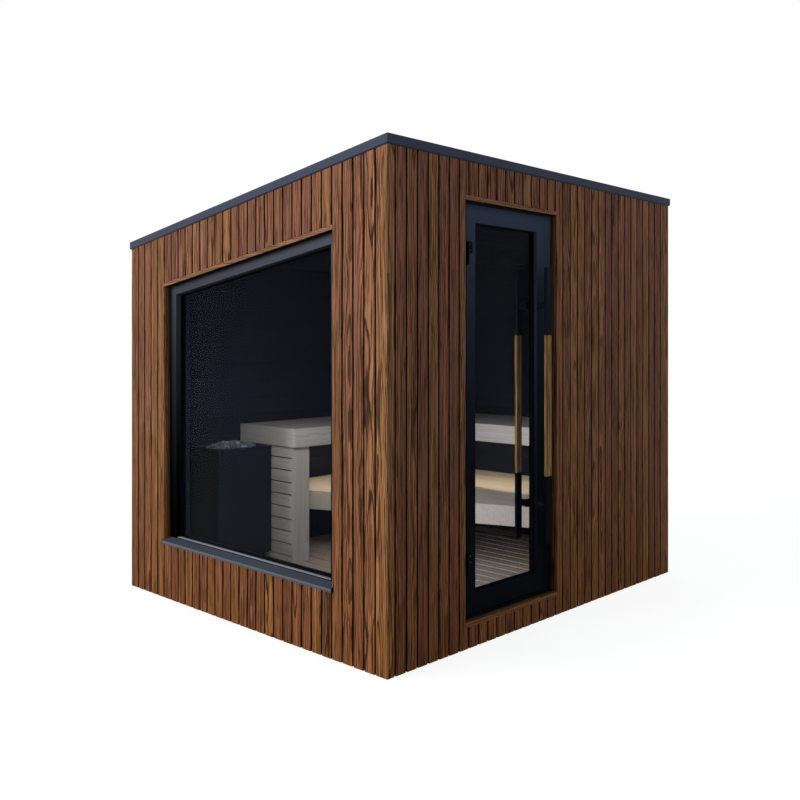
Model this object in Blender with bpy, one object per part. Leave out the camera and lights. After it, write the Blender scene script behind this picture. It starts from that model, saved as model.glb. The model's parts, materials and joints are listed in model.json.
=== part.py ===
"""Outdoor sauna cabin: slatted timber cladding under a single-pitch roof, a raked picture
window on the left side and a glazed door with long bar handles on the front.

Metres, +Z up. The origin is on the ground under the middle of the plan. The front, with the
door, faces -Y; the window side faces -X; the roof falls towards +Y.
"""
from math import copysign, cos, pi, sin

import bmesh
import bpy
from mathutils import Vector

# Gap between pieces that touch
FIT = 0.0003

# Cabin body
WIDTH = 2.459
DEPTH = 2.108
FRONT_HEIGHT = 2.3065
REAR_HEIGHT = 2.007
WALL_DEPTH = 0.072

# Vertical cladding boards: solid timber panels with a slot between each two boards
BOARD_WIDTH = 0.060
BOARD_GAP = 0.010
CLADDING_DEPTH = 0.043
SLOT_DEPTH = 0.031
CLADDING_LIFT = 0.002

# Roof
ROOF_SHEET = 0.004
ROOF_PANEL_DEPTH = 0.100
CEILING_DEPTH = 0.012
TRIM_HEIGHT = 0.044
TRIM_PROUD = 0.008
TRIM_FLANGE = 0.070

# Base and floor
BASE_BEAM_HEIGHT = 0.045
BASE_BEAM_WIDTH = 0.120
BASE_BEAM_INSET = 0.060
FLOOR_PANEL_DEPTH = 0.040
SLAT_WIDTH = 0.085
SLAT_GAP = 0.010
SLAT_DEPTH = 0.016
BEARER_DEPTH = 0.0085
BEARER_WIDTH = 0.045
SLAT_MARGIN = 0.004

# Picture window
WINDOW_BOARD_PITCHES = 10
WINDOW_HEAD_DROP = 0.325
WINDOW_BOTTOM = 0.303
WINDOW_FACE = 0.0575
WINDOW_HEAD_FACE = 0.051
WINDOW_BOTTOM_FACE = 0.033
WINDOW_BEAD_SLOPE = 0.003
WINDOW_BEAD_DEPTH = 0.030
WINDOW_INNER_PROUD = 0.0155
FRAME_COVER = 0.010
GLASS_DEPTH = 0.024
GLASS_BITE = 0.012
HEAD_BOARD_DEPTH = 0.021

# Window sill: folded sheet metal
SILL_BACK_RISE = 0.0325
SILL_FALL = 0.014
SILL_REACH = 0.012
SILL_OVERHANG = 0.006
SILL_SHEET = 0.003
SILL_DRIP = 0.018

# Door opening in the cladding
DOOR_FROM_CORNER = 0.513
DOOR_WIDTH = 0.741
DOOR_HEAD_DROP = 0.2215
DOOR_THRESHOLD = 0.122

# Door leaf and its fixed frame
JAMB_FACE = 0.0515
LEAF_UNDER_HEAD = 0.007
LEAF_OVER_THRESHOLD = 0.018
LEAF_DEPTH = 0.068
LEAF_PROUD = 0.0015
LEAF_STILE = 0.066
LEAF_TOP_RAIL = 0.086
LEAF_BOTTOM_RAIL = 0.098
LEAF_GLASS_SET_BACK = 0.022
LEAF_EDGE_BEVEL = 0.005
LEAF_CLEARANCE = 0.005
STOP_LIP = 0.015
STOP_DEPTH = 0.015

# Door hinges
HINGE_HEIGHT = 0.112
HINGE_RADIUS = 0.0085
HINGE_PLATE_WIDTH = 0.040
HINGE_PLATE_DEPTH = 0.006
HINGE_FROM_END = 0.234
HINGE_HALF_GAP = 0.001
HINGE_SIDES = 24

# Bar handles, alike outside and inside
HANDLE_FROM_EDGE = 0.0525
HANDLE_WIDTH = 0.043
HANDLE_THICKNESS = 0.015
HANDLE_STANDOFF = 0.0525
HANDLE_FROM_LEAF_FOOT = 0.254
HANDLE_FROM_LEAF_TOP = 0.273
HANDLE_CORE = 0.005
GRIP_LENGTH = 0.721
BRACKET_FROM_END = 0.192
BRACKET_HEIGHT = 0.034
BRACKET_WIDTH = 0.020

# Benches
BENCH_TOP_BOARD = 0.028
BENCH_FASCIA = 0.028
UPPER_BENCH_TOP = 0.910
UPPER_BENCH_DEPTH = 0.110
REAR_BENCH_SEAT = 0.539
RIGHT_BENCH_SEAT = 0.607
REAR_BENCH_FROM_WINDOW_WALL = 0.5742
LOWER_BENCH_TOP = 0.508
LOWER_BENCH_DEPTH = 0.115
LOWER_BENCH_END = 0.1227
LOWER_BENCH_SLANT = 0.3627
PIER_WIDTH = 0.120
PIER_INSET = 0.013
PIER_SET_BACK = 0.030
PIER_BOARD = 0.0646
PIER_GROOVE = 0.008
LIGHT_WIDTH = 0.016
LIGHT_DEPTH = 0.012

# Heater
HEATER_WIDTH = 0.380
HEATER_DEPTH = 0.285
HEATER_FROM_WINDOW_WALL = 0.1882
HEATER_FROM_REAR_WALL = 0.0387
HEATER_BODY_HEIGHT = 0.640
HEATER_FOOT_HEIGHT = 0.0499
HEATER_FOOT = 0.040
HEATER_FOOT_INSET = 0.030
STONE_WELL_INSET = 0.028
STONE_WELL_DEPTH = 0.060
STONE_HEAP_RISE = 0.028
STONE_LUMP = 0.010
STONE_SIDES = 24
STONE_RINGS = 6
STONE_LUMPS_ROUND = 5
WELL_ROUNDING = 0.55

HALF_WIDTH = WIDTH / 2
HALF_DEPTH = DEPTH / 2
BOARD_PITCH = BOARD_WIDTH + BOARD_GAP
ROOF_FALL = (FRONT_HEIGHT - REAR_HEIGHT) / DEPTH
FLOOR_PANEL_LOW = BASE_BEAM_HEIGHT + FIT
FLOOR_PANEL_TOP = FLOOR_PANEL_LOW + FLOOR_PANEL_DEPTH
WALL_LOW = FLOOR_PANEL_TOP + FIT
WALL_OUTSIDE = CLADDING_DEPTH + FIT
WALL_INSIDE = WALL_OUTSIDE + WALL_DEPTH
SLAT_TOP = WALL_LOW + BEARER_DEPTH + SLAT_DEPTH
FRAME_FRONT = WALL_OUTSIDE


def roof_top(y):
    """Height of the roof's upper face over a place in the plan."""
    return FRONT_HEIGHT - (y + HALF_DEPTH) * ROOF_FALL


def below_roof(drop):
    """A sloping level that stays one distance under the roof's upper face."""
    return lambda y: roof_top(y) - drop


CLADDING_TOP = below_roof(ROOF_SHEET + FIT)
PANEL_TOP = below_roof(ROOF_SHEET + FIT)
PANEL_LOW = below_roof(ROOF_SHEET + FIT + ROOF_PANEL_DEPTH)
WALL_TOP = below_roof(ROOF_SHEET + ROOF_PANEL_DEPTH + 2 * FIT)
CEILING_LOW = below_roof(ROOF_SHEET + ROOF_PANEL_DEPTH + CEILING_DEPTH + 2 * FIT)


def height_at(level, y):
    """A level is one height, or a function of the place along the roof's fall."""
    return level(y) if callable(level) else level


def clear_scene():
    for item in list(bpy.data.objects):
        bpy.data.objects.remove(item, do_unlink=True)


def finish(name, colour, roughness, metallic=0.0):
    """A Principled material with one colour."""
    material = bpy.data.materials.new(name)
    material.use_nodes = True
    shader = material.node_tree.nodes["Principled BSDF"]
    shader.inputs["Base Color"].default_value = (*colour, 1.0)
    shader.inputs["Roughness"].default_value = roughness
    shader.inputs["Metallic"].default_value = metallic
    return material


def add_mesh(name, points, faces, material):
    """One object from points and faces, with its faces turned outwards."""
    shape = bmesh.new()
    corners = [shape.verts.new(point) for point in points]
    for face in faces:
        shape.faces.new([corners[index] for index in face])
    bmesh.ops.recalc_face_normals(shape, faces=shape.faces)
    mesh = bpy.data.meshes.new(name)
    shape.to_mesh(mesh)
    shape.free()
    mesh.materials.append(material)
    item = bpy.data.objects.new(name, mesh)
    bpy.context.scene.collection.objects.link(item)
    return item


def loft(name, loops, material, closed_path=False):
    """Skin equal loops of points one after another, capped or joined end to start."""
    size = len(loops[0])
    points = [point for loop in loops for point in loop]
    faces = []
    last = len(loops) if closed_path else len(loops) - 1
    for step in range(last):
        here = step * size
        there = ((step + 1) % len(loops)) * size
        for side in range(size):
            following = (side + 1) % size
            faces.append((here + side, here + following, there + following, there + side))
    if not closed_path:
        faces.append(tuple(range(size)))
        faces.append(tuple(range(len(points) - size, len(points))))
    return add_mesh(name, points, faces, material)


def prism(name, plan, low, high, material):
    """An upright solid over a plan outline, between two levels."""
    bottom = [Vector((x, y, height_at(low, y))) for x, y in plan]
    top = [Vector((x, y, height_at(high, y))) for x, y in plan]
    return loft(name, [bottom, top], material)


def box(name, low, high, material):
    (x0, y0, z0), (x1, y1, z1) = low, high
    return prism(name, [(x0, y0), (x1, y0), (x1, y1), (x0, y1)], z0, z1, material)


def as_guide(item):
    """A shape that only cuts or joins another one."""
    item.hide_render = True
    item.display_type = 'WIRE'
    return item


def combine(item, guide, operation):
    step = item.modifiers.new(operation.title(), 'BOOLEAN')
    step.operation = operation
    step.solver = 'EXACT'
    step.object = as_guide(guide)


def plan_point(side, along, inward):
    """Plan position from a place along a side and a distance in from its cladding face."""
    return {
        "front": (along, -HALF_DEPTH + inward),
        "rear": (along, HALF_DEPTH - inward),
        "left": (-HALF_WIDTH + inward, along),
        "right": (HALF_WIDTH - inward, along),
    }[side]


def side_point(side, along, height, inward):
    return Vector((*plan_point(side, along, inward), height))


# Cladding and walls

def slot_centres(side):
    """Where the slots between boards lie along one side."""
    if side in ("left", "right"):
        reach = int((HALF_DEPTH - BOARD_GAP) / BOARD_PITCH)
        return [step * BOARD_PITCH for step in range(-reach, reach + 1)]
    first = -HALF_WIDTH + CLADDING_DEPTH + BOARD_GAP / 2
    last = HALF_WIDTH - CLADDING_DEPTH
    count = int((last - first) / BOARD_PITCH)
    return [first + step * BOARD_PITCH for step in range(count + 1)]


def board_spans(side, start, end):
    """The stretches of a panel that stand at full thickness."""
    spans = []
    position = start
    for centre in slot_centres(side):
        left, right = centre - BOARD_GAP / 2, centre + BOARD_GAP / 2
        if right < start + FIT or left > end - FIT:
            continue
        if left > position + FIT:
            spans.append((position, left))
        position = max(position, right)
    if end > position + FIT:
        spans.append((position, end))
    return spans


def cladding(name, side, start, end, low, high):
    """A run of boards in one solid: a comb outline, raised to sloping or level ends."""
    outline = [(start, CLADDING_DEPTH)]
    position = start
    for left, right in board_spans(side, start, end):
        if left > position:
            outline += [(position, SLOT_DEPTH), (left, SLOT_DEPTH)]
        outline += [(left, 0.0), (right, 0.0)]
        position = right
    if end > position:
        outline += [(position, SLOT_DEPTH), (end, SLOT_DEPTH)]
    outline.append((end, CLADDING_DEPTH))
    plan = [plan_point(side, along, inward) for along, inward in outline]
    return prism(name, plan, low, high, TIMBER)


def side_slab(name, side, start, end, low, high, outside, inside, material):
    """A plain piece of a side, between two depths in from the cladding face."""
    corners = [(start, outside), (end, outside), (end, inside), (start, inside)]
    plan = [plan_point(side, along, inward) for along, inward in corners]
    return prism(name, plan, low, high, material)


def wall(name, side, start, end, low=None, high=None):
    low = WALL_LOW if low is None else low
    high = WALL_TOP if high is None else high
    side_slab(name, side, start, end, low, high, WALL_OUTSIDE, WALL_INSIDE, LINING)


SILL_BACK_HEIGHT = WINDOW_BOTTOM + SILL_BACK_RISE
SILL_NOSE_HEIGHT = SILL_BACK_HEIGHT - SILL_FALL
WINDOW_HALF = WINDOW_BOARD_PITCHES * BOARD_PITCH + BOARD_GAP / 2
WINDOW_HEAD = below_roof(WINDOW_HEAD_DROP)
WINDOW_FRAME_HALF = WINDOW_HALF + FRAME_COVER
WINDOW_FRAME_HEAD = below_roof(WINDOW_HEAD_DROP - FRAME_COVER)
DOOR_LEFT = -HALF_WIDTH + DOOR_FROM_CORNER
DOOR_RIGHT = DOOR_LEFT + DOOR_WIDTH
DOOR_HEAD = FRONT_HEIGHT - DOOR_HEAD_DROP
DOOR_FRAME_LEFT = DOOR_LEFT - FRAME_COVER
DOOR_FRAME_RIGHT = DOOR_RIGHT + FRAME_COVER
DOOR_JAMB_LEFT = DOOR_LEFT + JAMB_FACE
DOOR_JAMB_RIGHT = DOOR_RIGHT - JAMB_FACE
LEAF_LEFT = DOOR_JAMB_LEFT + LEAF_CLEARANCE
LEAF_RIGHT = DOOR_JAMB_RIGHT - LEAF_CLEARANCE
LEAF_BOTTOM = DOOR_THRESHOLD + LEAF_OVER_THRESHOLD
LEAF_TOP = DOOR_HEAD - LEAF_UNDER_HEAD
DOOR_FRAME_HEAD = LEAF_TOP + LEAF_CLEARANCE + JAMB_FACE
INNER_HALF_WIDTH = HALF_WIDTH - WALL_INSIDE
INNER_HALF_DEPTH = HALF_DEPTH - WALL_INSIDE


def build_cladding():
    front_half = HALF_WIDTH - CLADDING_DEPTH - FIT
    over_door = DOOR_HEAD + HEAD_BOARD_DEPTH + FIT
    under_door = DOOR_THRESHOLD - HEAD_BOARD_DEPTH - FIT
    cladding("cladding_front_left", "front", -front_half, DOOR_LEFT, CLADDING_LIFT, CLADDING_TOP)
    cladding("cladding_front_right", "front", DOOR_RIGHT, front_half, CLADDING_LIFT, CLADDING_TOP)
    cladding("cladding_front_over_door", "front", DOOR_LEFT + FIT, DOOR_RIGHT - FIT,
             over_door, CLADDING_TOP)
    cladding("cladding_front_under_door", "front", DOOR_LEFT + FIT, DOOR_RIGHT - FIT,
             CLADDING_LIFT, under_door)
    cladding("cladding_left_front", "left", -HALF_DEPTH, -WINDOW_HALF, CLADDING_LIFT, CLADDING_TOP)
    cladding("cladding_left_rear", "left", WINDOW_HALF, HALF_DEPTH, CLADDING_LIFT, CLADDING_TOP)
    over_window = below_roof(WINDOW_HEAD_DROP - HEAD_BOARD_DEPTH - FIT)
    cladding("cladding_left_over_window", "left", -WINDOW_HALF + FIT, WINDOW_HALF - FIT,
             over_window, CLADDING_TOP)
    cladding("cladding_left_under_window", "left", -WINDOW_HALF + FIT, WINDOW_HALF - FIT,
             CLADDING_LIFT, WINDOW_BOTTOM)
    cladding("cladding_right", "right", -HALF_DEPTH, HALF_DEPTH, CLADDING_LIFT, CLADDING_TOP)
    cladding("cladding_rear", "rear", -front_half, front_half, CLADDING_LIFT, CLADDING_TOP)

    side_slab("door_head_board", "front", DOOR_LEFT + FIT, DOOR_RIGHT - FIT,
              DOOR_HEAD, DOOR_HEAD + HEAD_BOARD_DEPTH, 0.0, CLADDING_DEPTH, TIMBER)
    side_slab("door_threshold_board", "front", DOOR_LEFT + FIT, DOOR_RIGHT - FIT,
              DOOR_THRESHOLD - HEAD_BOARD_DEPTH, DOOR_THRESHOLD, 0.0, CLADDING_DEPTH, TIMBER)
    side_slab("window_head_board", "left", -WINDOW_HALF + FIT, WINDOW_HALF - FIT,
              WINDOW_HEAD, below_roof(WINDOW_HEAD_DROP - HEAD_BOARD_DEPTH),
              0.0, CLADDING_DEPTH, TIMBER)


def build_walls():
    side_half = HALF_DEPTH - WALL_OUTSIDE
    front_half = INNER_HALF_WIDTH - FIT
    wall("left_wall_front", "left", -side_half, -WINDOW_FRAME_HALF - FIT)
    wall("left_wall_rear", "left", WINDOW_FRAME_HALF + FIT, side_half)
    wall("left_wall_head", "left", -WINDOW_FRAME_HALF, WINDOW_FRAME_HALF,
         low=below_roof(WINDOW_HEAD_DROP - FRAME_COVER - FIT))
    wall("left_wall_apron", "left", -WINDOW_FRAME_HALF, WINDOW_FRAME_HALF, high=WINDOW_BOTTOM - FRAME_COVER)
    wall("right_wall", "right", -side_half, side_half)
    wall("rear_wall", "rear", -front_half, front_half)
    wall("front_wall_left", "front", -front_half, DOOR_FRAME_LEFT - FIT)
    wall("front_wall_right", "front", DOOR_FRAME_RIGHT + FIT, front_half)
    wall("front_wall_head", "front", DOOR_FRAME_LEFT, DOOR_FRAME_RIGHT, low=DOOR_FRAME_HEAD + FIT)


# Base, floor and roof

def build_base():
    beam_half = HALF_DEPTH - WALL_OUTSIDE
    outer_beam = HALF_WIDTH - WALL_OUTSIDE - BASE_BEAM_INSET - BASE_BEAM_WIDTH / 2
    for name, centre in (("left", -outer_beam), ("middle", 0.0), ("right", outer_beam)):
        box("base_beam_" + name, (centre - BASE_BEAM_WIDTH / 2, -beam_half, 0.0),
            (centre + BASE_BEAM_WIDTH / 2, beam_half, BASE_BEAM_HEIGHT), BASE_TIMBER)
    box("floor_panel", (-HALF_WIDTH + WALL_OUTSIDE, -beam_half, FLOOR_PANEL_LOW),
        (HALF_WIDTH - WALL_OUTSIDE, beam_half, FLOOR_PANEL_TOP), BASE_TIMBER)


def build_floor_slats():
    """Loose floor grating: slats from front to rear, let into bearers that cross them."""
    half_width = INNER_HALF_WIDTH - SLAT_MARGIN
    half_depth = INNER_HALF_DEPTH - STOP_DEPTH - SLAT_MARGIN
    pitch = SLAT_WIDTH + SLAT_GAP
    count = int((2 * half_width + SLAT_GAP) / pitch)
    first = -(count * pitch - SLAT_GAP) / 2
    slat_low = SLAT_TOP - SLAT_DEPTH
    bearer_half = -first - SLAT_WIDTH / 4
    bearer_low = WALL_LOW
    overlap = SLAT_DEPTH / 4
    points, faces = [], []
    for step in range(count):
        left = first + step * pitch
        add_box(points, faces, (left, -half_depth, slat_low), (left + SLAT_WIDTH, half_depth, SLAT_TOP))
    slats = add_mesh("floor_slats", points, faces, FLOOR_TIMBER)
    points, faces = [], []
    bearer_reach = half_depth - BEARER_WIDTH
    for centre in (-bearer_reach, 0.0, bearer_reach):
        add_box(points, faces, (-bearer_half, centre - BEARER_WIDTH / 2, bearer_low),
                (bearer_half, centre + BEARER_WIDTH / 2, slat_low + overlap))
    combine(slats, add_mesh("floor_bearers", points, faces, FLOOR_TIMBER), 'UNION')


def add_box(points, faces, low, high):
    """Add the corners and sides of one box to the lists of a mesh."""
    start = len(points)
    for z in (low[2], high[2]):
        points += [(low[0], low[1], z), (high[0], low[1], z), (high[0], high[1], z), (low[0], high[1], z)]
    sides = ((0, 3, 2, 1), (4, 5, 6, 7), (0, 1, 5, 4), (1, 2, 6, 5), (2, 3, 7, 6), (3, 0, 4, 7))
    for side in sides:
        faces.append(tuple(start + corner for corner in side))


def plan_rectangle(outward):
    """The cabin's plan corners, moved out from the cladding face."""
    x, y = HALF_WIDTH + outward, HALF_DEPTH + outward
    return [(-x, -y), (x, -y), (x, y), (-x, y)]


def build_roof():
    prism("roof_panel", plan_rectangle(-WALL_OUTSIDE), PANEL_LOW, PANEL_TOP, BASE_TIMBER)
    ceiling_half = INNER_HALF_WIDTH - FIT, INNER_HALF_DEPTH - FIT
    plan = [(sx * ceiling_half[0], sy * ceiling_half[1]) for sx, sy in ((-1, -1), (1, -1), (1, 1), (-1, 1))]
    prism("ceiling", plan, CEILING_LOW, WALL_TOP, LINING)
    sheet_edge = TRIM_PROUD - TRIM_FLANGE - FIT
    prism("roof_sheet", plan_rectangle(sheet_edge), below_roof(ROOF_SHEET), roof_top, ROOFING)
    flange_edge = TRIM_PROUD - TRIM_FLANGE
    section = [
        (TRIM_PROUD, TRIM_HEIGHT), (TRIM_PROUD, 0.0), (flange_edge, 0.0),
        (flange_edge, ROOF_SHEET), (FIT, ROOF_SHEET), (FIT, TRIM_HEIGHT),
    ]
    loops = []
    for outward, drop in section:
        loops.append([Vector((x, y, roof_top(y) - drop)) for x, y in plan_rectangle(outward)])
    loft("roof_trim", loops, DARK_METAL, closed_path=True)


# Glazed frames

def inset(outline, offsets):
    """Move each edge of a convex outline inwards by its own distance."""
    count = len(outline)
    lines = []
    for index in range(count):
        start, end = Vector(outline[index]), Vector(outline[(index + 1) % count])
        direction = (end - start).normalized()
        inward = Vector((-direction.y, direction.x))
        lines.append((start + inward * offsets[index], direction))
    corners = []
    for index in range(count):
        (point, along), (other, across) = lines[index - 1], lines[index]
        span = along.x * across.y - along.y * across.x
        gap = other - point
        reach = (gap.x * across.y - gap.y * across.x) / span
        corners.append(point + along * reach)
    return corners


def mitred_frame(name, side, outline, section, material):
    """A frame mitred at its corners: each section point is a depth and four edge insets."""
    loops = []
    for offsets, inward in section:
        loops.append([side_point(side, u, v, inward) for u, v in inset(outline, offsets)])
    return loft(name, loops, material, closed_path=True)


def pane(name, side, outline, offsets, front, back, material):
    corners = inset(outline, offsets)
    loops = [[side_point(side, u, v, depth) for u, v in corners] for depth in (front, back)]
    return loft(name, loops, material)


def build_window():
    low = WINDOW_BOTTOM - FRAME_COVER + FIT
    half = WINDOW_FRAME_HALF - FIT
    outline = [(-half, low), (half, low), (half, WINDOW_FRAME_HEAD(half)), (-half, WINDOW_FRAME_HEAD(-half))]
    cover = FRAME_COVER - FIT
    faces = [WINDOW_BOTTOM_FACE + cover, WINDOW_FACE + cover, WINDOW_HEAD_FACE + cover, WINDOW_FACE + cover]
    bead = [face + WINDOW_BEAD_SLOPE for face in faces]
    groove = [offset - GLASS_BITE for offset in bead]
    glass_front = FRAME_FRONT + WINDOW_BEAD_DEPTH + FIT
    glass_back = glass_front + GLASS_DEPTH
    outer = [0.0] * 4
    section = [
        (outer, FRAME_FRONT), (faces, FRAME_FRONT), (bead, glass_front - FIT),
        (groove, glass_front - FIT), (groove, glass_back + FIT), (bead, glass_back + FIT),
        (bead, WALL_INSIDE + WINDOW_INNER_PROUD), (outer, WALL_INSIDE + WINDOW_INNER_PROUD),
    ]
    mitred_frame("window_frame", "left", outline, section, DARK_METAL)
    pane("window_glass", "left", outline, [offset + FIT for offset in groove],
         glass_front, glass_back, GLASS)


def build_sill():
    """Folded sheet: a slope out from the window frame, then a drip edge turned down."""
    back = FRAME_FRONT - FIT
    nose = -SILL_REACH
    section = [
        (back, SILL_BACK_HEIGHT), (nose, SILL_NOSE_HEIGHT), (nose, SILL_NOSE_HEIGHT - SILL_DRIP),
        (nose + SILL_SHEET, SILL_NOSE_HEIGHT - SILL_DRIP),
        (nose + SILL_SHEET, SILL_NOSE_HEIGHT - SILL_SHEET), (back, SILL_BACK_HEIGHT - SILL_SHEET),
    ]
    end = WINDOW_HALF + SILL_OVERHANG
    loops = [[side_point("left", along, z, inward) for inward, z in section] for along in (-end, end)]
    sill = loft("window_sill", loops, SILL_METAL)
    reveal = WINDOW_HALF - FIT
    for label, low, high in (("front", -end - FRAME_COVER, -reveal), ("rear", reveal, end + FRAME_COVER)):
        notch = side_slab("sill_notch_" + label, "left", low, high, 0.0, 2 * SILL_BACK_HEIGHT,
                          -FIT, WALL_INSIDE, SILL_METAL)
        combine(sill, notch, 'DIFFERENCE')


# Door

LEAF_FRONT = FRAME_FRONT - LEAF_PROUD
LEAF_BACK = LEAF_FRONT + LEAF_DEPTH
HINGE_X = LEAF_LEFT - LEAF_CLEARANCE / 2
HINGE_INWARD = LEAF_FRONT - HINGE_RADIUS - FIT


def build_door_frame():
    low = WALL_LOW
    outline = [(DOOR_FRAME_LEFT, low), (DOOR_FRAME_RIGHT, low),
               (DOOR_FRAME_RIGHT, DOOR_FRAME_HEAD), (DOOR_FRAME_LEFT, DOOR_FRAME_HEAD)]
    faces = [LEAF_BOTTOM - LEAF_CLEARANCE - low, DOOR_FRAME_RIGHT - DOOR_JAMB_RIGHT,
             DOOR_FRAME_HEAD - LEAF_TOP - LEAF_CLEARANCE, DOOR_JAMB_LEFT - DOOR_FRAME_LEFT]
    lips = [face + STOP_LIP for face in faces]
    outer = [0.0] * 4
    stop_front = LEAF_BACK + LEAF_CLEARANCE
    section = [
        (outer, FRAME_FRONT), (faces, FRAME_FRONT), (faces, stop_front),
        (lips, stop_front), (lips, stop_front + STOP_DEPTH), (outer, stop_front + STOP_DEPTH),
    ]
    mitred_frame("door_frame", "front", outline, section, DARK_METAL)


def build_leaf():
    """Glazed leaf; the edge away from the hinges is bevelled so that it swings clear."""
    outline = [(LEAF_LEFT, LEAF_BOTTOM), (LEAF_RIGHT, LEAF_BOTTOM), (LEAF_RIGHT, LEAF_TOP),
               (LEAF_LEFT, LEAF_TOP)]
    faces = [LEAF_BOTTOM_RAIL, LEAF_STILE, LEAF_TOP_RAIL, LEAF_STILE]
    groove = [face - GLASS_BITE for face in faces]
    glass_front = LEAF_FRONT + LEAF_GLASS_SET_BACK
    glass_back = glass_front + GLASS_DEPTH
    outer = [0.0] * 4
    bevelled = [0.0, LEAF_EDGE_BEVEL, 0.0, 0.0]
    section = [
        (outer, LEAF_FRONT), (faces, LEAF_FRONT), (faces, glass_front - FIT),
        (groove, glass_front - FIT), (groove, glass_back + FIT), (faces, glass_back + FIT),
        (faces, LEAF_BACK), (bevelled, LEAF_BACK),
    ]
    leaf = mitred_frame("door_leaf", "front", outline, section, DARK_METAL)
    glass = pane("door_glass", "front", outline, [offset + FIT for offset in groove],
                 glass_front, glass_back, GLASS)
    return [leaf, glass]


def build_handle(label, leaf_face, outward):
    """A flat bar on two brackets, with a timber grip let into its middle."""
    centre = LEAF_RIGHT - HANDLE_FROM_EDGE
    left, right = centre - HANDLE_WIDTH / 2, centre + HANDLE_WIDTH / 2
    bottom = LEAF_BOTTOM + HANDLE_FROM_LEAF_FOOT
    top = LEAF_TOP - HANDLE_FROM_LEAF_TOP
    grip_bottom = (bottom + top - GRIP_LENGTH) / 2
    grip_top = grip_bottom + GRIP_LENGTH

    def at(x, z, distance):
        return side_point("front", x, z, leaf_face + outward * distance)

    back = HANDLE_STANDOFF
    core = back + HANDLE_CORE
    front = back + HANDLE_THICKNESS
    profile = [
        (back, bottom), (front, bottom), (front, grip_bottom), (core, grip_bottom),
        (core, grip_top), (front, grip_top), (front, top), (back, top),
    ]
    loops = [[at(x, z, distance) for distance, z in profile] for x in (left, right)]
    bar = loft(label + "_handle", loops, BLACK_METAL)
    pieces = [bar]
    for number, height in enumerate((bottom + BRACKET_FROM_END, top - BRACKET_FROM_END), start=1):
        low, high = height - BRACKET_HEIGHT / 2, height + BRACKET_HEIGHT / 2
        narrow = [centre - BRACKET_WIDTH / 2, centre + BRACKET_WIDTH / 2]
        seat, into_bar = FIT, back + HANDLE_CORE / 2
        ends = [[at(x, z, distance) for distance, z in ((seat, low), (into_bar, low), (into_bar, high),
                                                        (seat, high))] for x in narrow]
        bracket = loft(f"{label}_bracket_{number}", ends, BLACK_METAL)
        combine(bar, bracket, 'UNION')
        pieces.append(bracket)
    rest = core + FIT
    grip_profile = [(rest, grip_bottom + FIT), (front, grip_bottom + FIT), (front, grip_top - FIT),
                    (rest, grip_top - FIT)]
    loops = [[at(x, z, distance) for distance, z in grip_profile] for x in (left, right)]
    pieces.append(loft(label + "_grip", loops, GRIP_TIMBER))
    return pieces


def knuckle(name, low, high):
    """Half of a hinge barrel, standing on the door's turning axis."""
    ring = []
    for step in range(HINGE_SIDES):
        angle = 2 * pi * step / HINGE_SIDES
        ring.append((HINGE_X + HINGE_RADIUS * cos(angle), HINGE_INWARD + HINGE_RADIUS * sin(angle)))
    loops = [[side_point("front", x, z, inward) for x, inward in ring] for z in (low, high)]
    return loft(name, loops, DARK_METAL)


def hinge_half(name, low, high, plate_from, plate_to, seat):
    """A barrel half with the plate that screws it down; seat is the face it lies on."""
    half = knuckle(name, low, high)
    plate = side_slab(name + "_plate", "front", plate_from, plate_to, low, high,
                      seat - FIT - HINGE_PLATE_DEPTH, seat - FIT, DARK_METAL)
    combine(half, plate, 'UNION')
    half.data.shade_smooth()
    half.data.set_sharp_from_angle(angle=pi / 6)
    return [half, plate]


def build_hinges():
    centres = {"upper": LEAF_TOP - HINGE_FROM_END, "lower": LEAF_BOTTOM + HINGE_FROM_END}
    moving = []
    for label, centre in centres.items():
        low, high = centre - HINGE_HEIGHT / 2, centre + HINGE_HEIGHT / 2
        hinge_half(f"hinge_{label}_frame_half", low, centre - HINGE_HALF_GAP / 2,
                   HINGE_X - HINGE_PLATE_WIDTH, HINGE_X, FRAME_FRONT)
        moving += hinge_half(f"hinge_{label}_leaf_half", centre + HINGE_HALF_GAP / 2, high,
                             HINGE_X, HINGE_X + HINGE_PLATE_WIDTH, LEAF_FRONT)
    return moving


def build_door():
    build_door_frame()
    pieces = build_leaf()
    pieces += build_handle("outer", LEAF_FRONT, -1)
    pieces += build_handle("inner", LEAF_BACK, 1)
    pieces += build_hinges()
    axis = bpy.data.objects.new("door_axis", None)
    bpy.context.scene.collection.objects.link(axis)
    axis.location = side_point("front", HINGE_X, 0.0, HINGE_INWARD)
    for piece in pieces:
        for corner in piece.data.vertices:
            corner.co -= axis.location
        piece.parent = axis


# Benches

def bench(name, plan, low, high):
    """A boarded seat with a fascia round it, open underneath."""
    seat = prism(name, plan, low, high, BENCH_TIMBER)
    hollow = prism(name + "_hollow", inset(plan, [BENCH_FASCIA] * len(plan)), low - BENCH_FASCIA,
                   high - BENCH_TOP_BOARD, BENCH_TIMBER)
    combine(seat, hollow, 'DIFFERENCE')


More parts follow.
